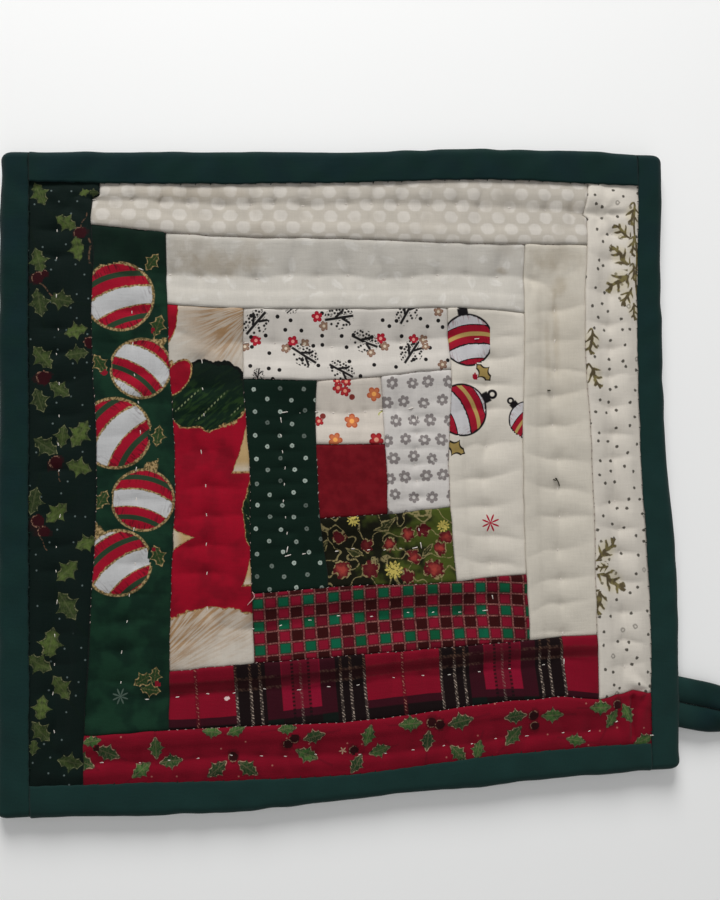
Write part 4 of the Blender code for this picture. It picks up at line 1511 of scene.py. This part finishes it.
def gilt_blossoms():
    """Maroon blossoms with gilt outlines on a ground that runs from near black to yellow green."""
    cotton = Cotton("gilt_blossom_cotton", dye(24, 24, 14))
    x, _ = on_face(400, 550)
    cotton.ink(dye(66, 76, 30), fade((cotton.x - x) / 14 + cotton.ragged(6.0, 4), -0.6, 0.8))
    gilt = dye(136, 124, 86)
    broken = cotton.cloud(0.7, 0.3, 0.5)
    vine = fade(abs(noise(cotton.cloth, 7.0, 1.0) - 0.5), 0.026, 0.01)
    cotton.ink(gilt, vine * broken * 0.8)
    loose = cotton.ruffled(1.7, 0.8)
    ink, rim, _ = cotton.use(PETALS, *loose, 5.0, 0.26, 0.2)
    glow = fade(length_of(*loose), 0.8, 0.1) * fade(cotton.tone, 0.0, 0.6)
    petal = paint(paint(dye(76, 20, 26), dye(150, 60, 52), glow), gilt, rim * cotton.cloud(1.6, 0.4, 0.56))
    cotton.ink(petal, ink * cotton.only("red"))
    cotton.ink(dye(178, 162, 84), cotton.petals(11.0, 0.5, 0.3)[0] * broken * cotton.only("gold"))
    leaf, edge, vein, _ = cotton.use(LEAF, *cotton.ruffled(4.0, 0.8), 0.4, 2.0, 0.1, 0.1)
    green = paint(dye(40, 44, 24), gilt, larger(edge, vein * 0.5) * broken)
    cotton.ink(green, leaf * cotton.only("leaf"))
    return cotton.finish()


print("blossoms and leaves", len(BLOSSOMS))

# %% [markdown]
# ## Large ornaments
# Three strips are cut from large prints, so each shows only slices of what is printed on it. The striped
# balls are placed marks. The petals and leaves are a few ellipses with ragged edges, laid one over the
# other: a slice needs no repeat, and this keeps each shape easy to move.

# %% Large ornaments
BAUBLES = marks_of(
    ("bauble", (119, 296, 11.0, 18), (141, 368, 9.6, -34), (115, 433, 11.2, 50), (143, 500, 9.8, -14),
        (118, 563, 10.4, 34)),
    ("leaf", (152, 262, 3.2, 50), (158, 326, 3.6, 70), (100, 364, 3.4, -60), (158, 436, 3.4, 80),
        (102, 500, 3.4, 60), (158, 556, 3.6, -70)),
    ("berry", (153, 330, 1.1, 0), (104, 372, 1.1, 0), (154, 550, 1.1, 0)),
    ("leaf", (143, 680, 3.4, 30), (150, 690, 3.4, -10), (155, 676, 3.0, 80)), ("berry", (157, 684, 1.3, 0)),
    ("gold", (120, 697, 2.4, 0)), ("none", (105, 240, 8.0, 0), (110, 650, 12.0, 0)),
)
FAR_BAUBLES = marks_of(
    ("bauble", (468, 340, 8.6, 10), (462, 410, 8.6, -64)),
    ("leaf", (484, 372, 3.6, -50), (455, 448, 3.8, -30)), ("berry", (476, 376, 1.2, 0)),
    ("bauble", (527, 420, 6.2, 40)), ("star", (491, 523, 2.9, 0)),
    ("none", (505, 340, 6.0, 0), (500, 450, 8.0, 0)),
)


def turned(cotton, angle, start):
    """Coordinates in mm that are turned by an angle and start at a pixel's place on the face."""
    x, y = on_face(*start)
    return spun(cotton.x - x, cotton.y - y, math.cos(angle), math.sin(angle))


def ornament(cotton, red, white, line, shade, band):
    """Prints striped balls with a cap and a ring."""
    u, v, radius = cotton.u, cotton.v, cotton.radius()
    bend = part((v + u * u * 0.25) * 0.8 + cotton.tone)
    streaks = fade(noise(vector(u * 14, v * 3 + u * 4), 1.0), 0.48, 0.66) * fade(radius, 0.4, 0.95)
    colour = paint(white, paint(white, shade, 0.5 * streaks), streaks)
    colour = paint(colour, paint(red, shade, streaks * 0.8), fade(bend, 0.42, 0.44))
    colour = paint(colour, band, inside(0.06 - abs(bend - 0.72), 0.01))
    ragged = cotton.ragged(1.2, 0.06)
    for place in (0.43, 0.995):
        colour = paint(colour, line, inside(0.022 - abs(bend - place + ragged), 0.01))
    colour = paint(colour, line, inside(radius - 0.9 + ragged, 0.02))
    cap = inside(0.2 - abs(u), 0.03) * inside(0.13 - abs(v - 1.05), 0.03)
    ring = inside(0.05 - abs(length_of(u, v - 1.3) - 0.13), 0.02)
    colour = paint(colour, line, larger(cap, ring))
    cotton.ink(colour, larger(inside(0.97 - radius, 0.02), larger(cap, ring)) * cotton.only("bauble"))


def baubles():
    """Red and white balls with gilt edges and holly leaves, on green."""
    cotton = Cotton("bauble_cotton", dye(24, 50, 36))
    gilt = paint(dye(165, 140, 98), dye(95, 80, 50), cotton.cloud(0.7, 0.4, 0.6))
    cotton.ink(dye(18, 38, 29), cotton.cloud(7.0, 0.35, 0.65))
    # painted shadow: the strip is darker above this line, where its top lies in shade
    _, shadow_line = on_face(130, 266)
    cotton.ink(dye(13, 29, 24), fade(cotton.y - shadow_line, -2.0, 1.0) * 0.75)
    ornament(cotton, dye(148, 20, 40), dye(182, 182, 182), gilt, dye(62, 20, 26), dye(40, 60, 42))
    ink, edge, vein, _ = cotton.use(LEAF, cotton.u, cotton.v, 0.72, 3.4, 0.38, 0.12)
    cotton.ink(paint(dye(40, 62, 34), gilt, larger(edge, vein * 0.3)), ink * cotton.only("leaf"))
    cotton.berries(dye(120, 24, 36))
    cotton.ink(dye(95, 110, 100), cotton.petals(8.0, 0.9, 0.1)[0] * cotton.only("gold") * 0.5)
    return cotton.finish()


LARGE_SHAPES = [
    # kind, u, v, length and half width in mm, turn in degrees; later ones lie on top
    ("petal", 213, 334, 16.4, 15.4, -6), ("tan", 251, 473, 22.0, 6.0, 90), ("tan", 171, 539, 7.4, 4.2, 2),
    ("red", 168, 312, 9.4, 3.0, 87),
    ("leaf", 208, 395, 15.0, 11.6, 8), ("red", 177.5, 377, 6.2, 3.6, 60), ("fur", 211, 645, 20.0, 11.0, 2),
    ("tan", 250, 586, 8.2, 2.6, 90), ("leaf", 257, 513, 12.0, 4.6, -92),
]
STREAKS = {
    # kind: (pixel that its streaks run out from, heading in radians, the fan's spread, streaks to a radian,
    # and the distances in mm between which they come in, or go out when the first is the larger one)
    "petal": ((263, 303), 3.62, 0.95, 22.0, (31.0, 17.0)),
    "fur": ((120, 700), 1.0, 0.85, 42.0, (3.0, 13.0)),
}


def streaked(cotton, kind):
    """Cream with brown streaks that run out from a point."""
    start, heading, spread, fineness, reach = STREAKS[kind]
    out, side = turned(cotton, heading, start)
    angle = angle_of(side, out)
    hatch = fade(noise(vector(angle * fineness, length_of(out, side) / 10), 1.0), 0.4, 0.64)
    far_out = fade(out + (hatch - 0.5) * 5, *reach)
    here = fade(abs(angle) + cotton.ragged(4.0, 0.3), spread, spread * 0.2) * far_out
    return paint(dye(188, 181, 170), dye(152, 121, 88), here * (0.4 + hatch * 0.6))


def beaded_leaf(across, up, radius):
    """Streaked green, dark above, with beaded ribs below."""
    hatch = noise(vector(across / 5 + up / 9, (up - across * 0.6) / 1.4), 1.0)
    fill = paint(dye(17, 34, 24), dye(34, 54, 28), fade(hatch, 0.45, 0.7))
    beads = fade(abs(part(across / 1.1) - 0.5), 0.32, 0.18)
    ribs = fade(abs(part((up - across * 0.7) / 7.6) - 0.5), 0.045, 0.025) * inside(0.8 - radius, 0.05)
    ribs = ribs * fade(up + across * 0.3, 3.0, -1.0)
    fill = paint(fill, dye(15, 27, 22), fade(up + across * 0.3, 0.0, 7.0) * 0.85)
    return paint(fill, dye(126, 134, 96), ribs * beads * 0.8)


def large_leaves():
    """Large cream petals and a beaded green leaf, edged in gilt, on red."""
    cotton = Cotton("large_leaf_cotton", dye(145, 15, 36))
    gilt = paint(dye(168, 138, 92), dye(100, 72, 44), cotton.cloud(0.8, 0.4, 0.6))
    cotton.ink(dye(124, 13, 32), cotton.cloud(8.0, 0.4, 0.7))
    ground = cotton.colour
    ragged = cotton.ragged(4.0, 0.22) + cotton.ragged(1.0, 0.05)
    for kind, u, v, length, half_width, turn in LARGE_SHAPES:
        across, up = turned(cotton, math.radians(turn), (u, v))
        radius = length_of(across / length, up / half_width) + ragged
        if kind == "tan":  # a sharp tip that widens towards a straight foot
            sharp = abs(across / length) ** 0.8 + abs(up / half_width) ** 0.8 + ragged * 0.5
            radius = larger(sharp, 1 - across / length)
            fill = paint(dye(178, 150, 106), dye(192, 182, 166), fade(across, 4.0, 0.6) * 0.8)
        elif kind == "leaf":
            radius = radius + abs(wave((across + 1.3) * 0.36)) * 0.12
            fill = beaded_leaf(across, up, radius)
        else:
            fill = streaked(cotton, kind) if kind in STREAKS else ground
        black_part = fade(up, half_width * 0.05, half_width * 0.3) * float(kind == "leaf")
        edge = inside(radius - 1 + (black_part * 0.9 + 0.62) / length, 0.015)
        fill = paint(fill, paint(gilt, dye(15, 20, 18), black_part), edge)
        cotton.ink(fill, inside(1 - radius, 0.015))
    return cotton.finish()


def far_baubles():
    """Striped balls with black edges and a red star on cream."""
    cotton = Cotton("striped_ball_cotton", dye(201, 194, 182))
    black, red = dye(24, 22, 24), dye(146, 24, 42)
    ornament(cotton, red, dye(188, 186, 187), black, dye(120, 22, 36), dye(168, 142, 84))
    ink, edge, _, _ = cotton.use(LEAF, cotton.u, cotton.v, 0.7, 3.0, 0.36, 0.16)
    cotton.ink(paint(dye(150, 128, 76), black, edge), ink * cotton.only("leaf"))
    cotton.berries(red)
    cotton.ink(dye(160, 30, 52), cotton.petals(8.0, 0.9, 0.1)[0] * cotton.only("star"))
    return cotton.finish(wear=0.1)


print("large shapes", len(LARGE_SHAPES), "and marks", len(BAUBLES) + len(FAR_BAUBLES))

# %% [markdown]
# ## Which cloth goes where
# In a log cabin the light cloths lie on two sides of the middle and the dark ones on the other two. This
# table is the quilter's plan: each patch gets its cotton, and the marks that are printed on it. Binding and
# back get plain cottons.

# %% Cloth on the patches
PRINTS = {
    # patch: (its cotton, its marks or none)
    "middle_square": (plain_wine, None),
    "top_1": (posies, POSIES),
    "right_1": (grey_flowers, None),
    "bottom_1": (gilt_blossoms, BLOSSOMS),
    "left_1": (pin_dots, None),
    "top_2": (sprigs, SPRIGS),
    "right_2": (far_baubles, FAR_BAUBLES),
    "bottom_2": (gold_grid, None),
    "left_2": (large_leaves, None),
    "top_3": (shadow_leaves, None),
    "right_3": (plain_cream, None),
    "bottom_3": (tartan, None),
    "left_3": (baubles, BAUBLES),
    "top_4": (polka, None),
    "right_4": (gilt_pine, PINES),
    "bottom_4": (red_holly, RED_HOLLY),
    "left_4": (green_holly, GREEN_HOLLY),
}
for number, (name, (cotton, marks)) in enumerate(PRINTS.items()):
    if marks:
        print_marks(patches[name], marks, number)
    patches[name].data.materials.append(cotton())
print("cottons", len(PRINTS), "and placed marks", sum(len(marks or ()) for _, marks in PRINTS.values()))


def binding_green():
    cotton = Cotton("binding_green_cotton", dye(20, 41, 38))
    cotton.ink(dye(20, 39, 40), fade(noise(cotton.cloth, 14.0, 3.0), 0.35, 0.65))
    x, y, _ = node(cotton.tree, "ShaderNodeSeparateXYZ", (object_place(cotton.tree),))
    # lighter towards the bottom and right: the darker top and left are painted shade, and so is the darker
    # loop past x 106 mm
    cotton.ink(dye(27, 50, 47), fade((x * 0.35 - y) / MM, -100.0, 100.0) * fade(x / MM, 114.0, 106.0))
    return cotton.finish(wear=0.3)


def backing_plain():
    cotton = Cotton("backing_plain_cotton", dye(196, 186, 168))
    cotton.ink(dye(188, 177, 158), cotton.cloud(16.0, 0.2, 0.8))
    return cotton.finish(wear=0.1)


green = binding_green()
for piece in [*binding.values(), loop]:
    piece.data.materials.append(green)
backing.data.materials.append(backing_plain())

# %% [markdown]
# ## Hand sewing, by Geometry Nodes
# A sewn line is one small shape repeated: a bit of thread comes up through the cloth, lies on it and goes
# down again. That is work for Geometry Nodes. The guide is a chain of vertices, one for each stitch. The
# tree bends a bit of thread, puts a copy on each vertex and turns it along the chain, with a little
# unevenness from a fixed seed. Because the length, the thread and the turn are inputs, the same tree also
# makes the seams' dots and the hem stitches.

# %% The sewing tree
SEWING_INPUTS = {
    # name: (socket type, value); lengths in metres, turns in radians
    "Length": ("NodeSocketFloat", 1.8 * MM),
    "Thread": ("NodeSocketFloat", 0.32 * MM),
    "Rise": ("NodeSocketFloat", 0.13 * MM),
    "Turn": ("NodeSocketFloat", 0.0),
    "Roll": ("NodeSocketFloat", 0.0),
    "Unevenness": ("NodeSocketFloat", 0.25),
    "Seed": ("NodeSocketInt", 1),
    "Material": ("NodeSocketMaterial", None),
}


def sewing_tree():
    tree = bpy.data.node_groups.new("hand_sewing", "GeometryNodeTree")
    tree.is_modifier = True
    tree.interface.new_socket("Guide", in_out="INPUT", socket_type="NodeSocketGeometry")
    for title, (kind, value) in SEWING_INPUTS.items():
        socket = tree.interface.new_socket(title, in_out="INPUT", socket_type=kind)
        if value is not None:
            socket.default_value = value
    tree.interface.new_socket("Stitches", in_out="OUTPUT", socket_type="NodeSocketGeometry")
    make = partial(node, tree)
    guide, length, thread, rise, turn, roll, uneven, seed, material, *_ = make("NodeGroupInput")

    half, sunk = length * 0.5, rise * -1.0
    start, = make("ShaderNodeCombineXYZ", {"X": half * -1.0, "Z": sunk})
    top, = make("ShaderNodeCombineXYZ", {"Z": rise * 3.0})
    end, = make("ShaderNodeCombineXYZ", {"X": half, "Z": sunk})
    bend = {"Resolution": 5, "Start": start, "Middle": top, "End": end}
    bow, = make("GeometryNodeCurveQuadraticBezier", bend)
    round_wire = make("GeometryNodeCurvePrimitiveCircle", {"Resolution": 6, "Radius": thread * 0.5})[0]
    stitch, = make("GeometryNodeCurveToMesh", {"Curve": bow, "Profile Curve": round_wire, "Fill Caps": True})

    off_line = make("FunctionNodeRandomValue", {2: uneven * -1.0, 3: uneven, "Seed": seed})[1]
    stretch = make("FunctionNodeRandomValue", {2: 1.0 - uneven, 3: 1.0 + uneven, "Seed": seed + 1})[1]
    angles, = make("ShaderNodeCombineXYZ", {"X": roll, "Z": turn + off_line})
    spin, = make("FunctionNodeEulerToRotation", {"Euler": angles})

    chain, = make("GeometryNodeMeshToCurve", {"Mesh": guide})
    tangent, = make("GeometryNodeInputTangent")
    along, = make("FunctionNodeAlignRotationToVector", {"Vector": tangent}, axis="X", pivot_axis="Z")
    way, = make("FunctionNodeRotateRotation", {"Rotation": along, "Rotate By": spin}, rotation_space="LOCAL")
    size, = make("ShaderNodeCombineXYZ", (stretch, 1.0, 1.0))
    placed = {"Points": chain, "Instance": stitch, "Rotation": way, "Scale": size}
    sewn, = make("GeometryNodeInstanceOnPoints", placed)
    solid, = make("GeometryNodeRealizeInstances", {"Geometry": sewn})
    smooth, = make("GeometryNodeSetShadeSmooth", {"Geometry": solid})
    finish, = make("GeometryNodeSetMaterial", {"Geometry": smooth, "Material": material})
    make("NodeGroupOutput", (finish,))
    return tree


SEWING = sewing_tree()


def plain_mesh(piece):
    """What a piece's curve or modifier comes out as, as a mesh of its own."""
    bpy.context.view_layer.update()
    return bpy.data.meshes.new_from_object(piece.evaluated_get(bpy.context.evaluated_depsgraph_get()))


def sewn_piece(name, chains, material, **settings):
    """Stitches on the vertices of some chains of points in mm, as a plain mesh."""
    points, edges = [], []
    for chain in chains:
        edges += [(len(points) + i, len(points) + i + 1) for i in range(len(chain) - 1)]
        points += (chain * MM).tolist()
    guide = bpy.data.meshes.new(name + "_guide")
    guide.from_pydata(points, edges, [])
    piece = new_object(name, guide)
    modifier = piece.modifiers.new("sewing", "NODES")
    modifier.node_group = SEWING
    sockets = {item.name: item.identifier for item in SEWING.interface.items_tree if item.in_out == "INPUT"}
    for title, value in {**settings, "Material": material}.items():
        modifier[sockets[title]] = value
    mesh = plain_mesh(piece)
    piece.modifiers.clear()
    piece.data = mesh
    mesh.name = name
    print(name, "stitches", len(points), "faces", len(mesh.polygons))
    return piece


print("sewing tree", len(SEWING.nodes), "nodes")

# %% [markdown]
# ## Thread
# The quilting thread is white cotton, and the binding is sewn down with green. A thread of 0.4 mm shows its
# twist only as a faint ripple in its colour.

# %% Thread materials
SPECK_SIZE = 0.6  # of the ripple in a thread's colour, in mm


def thread_material(name, colour, shade):
    material, shader = principled(name, {"Roughness": 0.75, "Specular IOR Level": 0.2})
    place = object_place(material.node_tree)
    speck = node(place.tree, "ShaderNodeTexNoise", {"Vector": place, "Scale": 1 / (SPECK_SIZE * MM)})[0]
    join(paint(colour, shade, fade(speck, 0.4, 0.65)), shader.inputs["Base Color"])
    return material


white_thread = thread_material("white_thread", dye(218, 211, 203), dye(184, 176, 168))
pink_thread = thread_material("pink_thread", dye(205, 165, 160), dye(170, 130, 126))
green_thread = thread_material("green_thread", dye(18, 40, 34), dye(8, 20, 18))
seam_thread = thread_material("seam_thread", dye(176, 156, 150), dye(120, 104, 98))
brown_thread = thread_material("brown_thread", dye(78, 74, 58), dye(48, 46, 38))
wadding.data.materials.append(thread_material("wadding_fibre", dye(226, 222, 212), dye(206, 200, 188)))
print("threads", [name for name in bpy.data.materials.keys() if name.endswith("_thread")])

# %% [markdown]
# ## Where the stitches go
# The quilting runs square round the middle in four rings, half-way between the seams, with a stitch where
# the relief has its pit. On the back the thread shows between the face's stitches. The seams were sewn over
# by hand too, so tiny dots of thread show along many of them, and the binding is hemmed with stitches that
# cross its inner edge.

# %% Quilting, seam dots and hems
QUILTED_RINGS = 4
SEAM_DOT_STEP = 2.5
UPRIGHT_HEM, LEVEL_HEM = 88, 84  # how far in mm the hem stitches go from the middle
DOTTED_SEAMS = [
    # side, round, from and to in mm along the seam
    ("left", 0, -12, 5), ("right", 0, -12, 7), ("top", 0, -8, 11), ("bottom", 0, -8, 11),
    ("bottom", 1, -30, 30), ("left", 1, -34, 26), ("left", 2, -56, 46), ("right", 1, -30, 30),
    ("bottom", 2, -52, 54), ("left", 3, -44, 56), ("bottom", 3, -56, 74), ("top", 3, -70, 72),
    ("top", 1, -28, 30), ("right", 3, -66, 40),
]


def quilted_line(side, strip, start=0.0):
    """(x, y) of each stitch on one side of a ring, from corner to corner."""
    corners = LEVEL if side in UPRIGHT else UPRIGHT
    low, high = ((seam(edge, strip, 0) + seam(edge, strip + 1, 0)) / 2 for edge in corners)
    fine = np.linspace(float(low), float(high), 2000)
    count = stitch_count(fine, strip) + start
    wanted = np.arange(math.ceil(count[0] + 0.15), math.floor(count[-1] - 0.15) + 1)
    along = np.interp(wanted, count, fine)
    inner, outer = seam(side, strip, along), seam(side, strip + 1, along)
    x, y = on_side(side, (inner + outer) / 2, along)
    _, upright, corner = rounds(x, y)
    shift = line_shift(x, y, strip, upright, corner)
    return on_side(side, inner * (0.5 - shift) + outer * (0.5 + shift), along)


def raised(x, y, surface, lift):
    return np.stack([x, y, surface(x, y) + lift], -1)


face_lines, back_lines = [], []
for strip in range(QUILTED_RINGS):
    for side in SIGN:
        face_lines.append(raised(*quilted_line(side, strip), face_z, 0.02))
        back_lines.append(raised(*quilted_line(side, strip, 0.5), back_z, -0.02))
quilting = sewn_piece("quilting_thread", face_lines, white_thread, Seed=3)
quilting_back = sewn_piece(
    "quilting_thread_back", back_lines, white_thread, Length=2.2 * MM, Roll=math.pi, Seed=5
)

dots = []
for side, level, start, stop in DOTTED_SEAMS:
    along = np.arange(start, stop, SEAM_DOT_STEP)
    along = along + 0.5 * lumps(along * 7, level * 11.0, 5, 14)
    across = sewn_line(side, level, along) - SIGN[side] * 0.05
    dots.append(raised(*on_side(side, across, along), face_z, -0.3))
seam_dots = sewn_piece(
    "seam_dots", dots, seam_thread, Length=0.45 * MM, Thread=0.2 * MM, Rise=0.12 * MM, Unevenness=0.5, Seed=7
)

hems = []
for side in SIGN:
    reach = UPRIGHT_HEM if side in UPRIGHT else LEVEL_HEM
    along = np.arange(-reach, reach, LIP_STEP) + LIP_STEP / 2
    x, y = on_side(side, lip(side, along), along)
    hems.append(np.stack([x, y, np.full_like(x, BINDING_Z - 0.55)], -1))
hem_thread = sewn_piece(
    "hem_thread", hems, green_thread, Length=1.3 * MM, Thread=0.3 * MM, Turn=math.pi / 2 - 0.5, Seed=9
)

# %% [markdown]
# ## Loose ends
# A few threads were left: a white end hangs out of a seam, and a brown one is knotted on the cream strip.
# Each is a curve with a round section, made a mesh.

# %% Loose threads
LOOSE_THREADS = [
    # name, material, thickness in mm, [(u, v, height over the cloth in mm)]
    (
        "loose_white_thread", pink_thread, 0.27,
        [(252.3, 592, -0.4), (253.6, 593.5, 0.4), (254.8, 597, 0.5), (251, 601, 0.4), (246.5, 606, 0.2)],
    ),
    ("corner_stitch", white_thread, 0.34, [(651.2, 735.8, 0.6), (652.9, 735.2, 1.45), (654.8, 735.6, 0.6)]),
    (
        "loose_brown_thread", brown_thread, 0.34,
        [
            (554, 479, 0.1), (556, 481, 0.45), (558, 479, 0.6), (555, 478, 0.7), (558, 480, 0.5),
            (560, 483, 0.2), (561, 486, 0.1),
        ],
    ),
    ("brown_fleck", brown_thread, 0.4, [(548, 390, 0.15), (549.5, 390.5, 0.3), (551, 390, 0.15)]),
]


def loose_thread(name, material, thickness, places):
    line = bpy.data.curves.new(name, "CURVE")
    line.dimensions, line.use_fill_caps = "3D", True
    line.bevel_depth = thickness * MM / 2
    line.bevel_resolution, line.resolution_u = 2, 6
    run = line.splines.new("NURBS")
    run.points.add(len(places) - 1)
    run.order_u, run.use_endpoint_u = 3, True
    for point, (u, v, height) in zip(run.points, places):
        x, y = on_face(u, v)
        point.co = (x * MM, y * MM, (float(face_z(x, y)) + height) * MM, 1)
    holder = new_object(name, line)
    mesh = plain_mesh(holder)
    bpy.data.objects.remove(holder)
    mesh.materials.clear()
    mesh.materials.append(material)
    mesh.shade_smooth()
    return new_object(name, mesh)


loose = [loose_thread(*thread) for thread in LOOSE_THREADS]
print("loose threads", {piece.name: len(piece.data.polygons) for piece in loose})
sewing = [quilting, quilting_back, seam_dots, hem_thread, *loose]

# %% [markdown]
# ## Riding on the part
# Each piece is attached to the part's one body, and the solids that the cloth replaces are hidden. A folded
# strip is modelled with both of its faces, so the cut size printed for each binding strip is half the
# mesh's area.

# %% Placing
for name, piece in patches.items():
    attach(piece, "root")
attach(wadding, "root")
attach(backing, "root")
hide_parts("quilted_pad")


def cloth_area(piece):
    """Area of one face of a piece of cloth that is modelled with both, in square metres."""
    return sum(face.area for face in piece.data.polygons) / 2


for side, piece in binding.items():
    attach(piece, "root")
    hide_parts(f"binding_{side}")
    length = max(piece.dimensions[:2])
    width = cloth_area(piece) / length
    print(piece.name, "cut", round(width / MM, 1), "x", round(length / MM, 1), "mm")
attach(loop, "root")
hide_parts("hanging_loop")
for piece in sewing:
    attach(piece, "root")

# %% [markdown]
# ## Sizes
# The cloth mustn't make the pot holder bigger than its solids.

# %% Sizes
low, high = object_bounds()
for title, box in (("cad", (*cad_low, *cad_high)), ("visual", (*low, *high))):
    print(title, [round(c / MM, 2) for c in box], "mm")
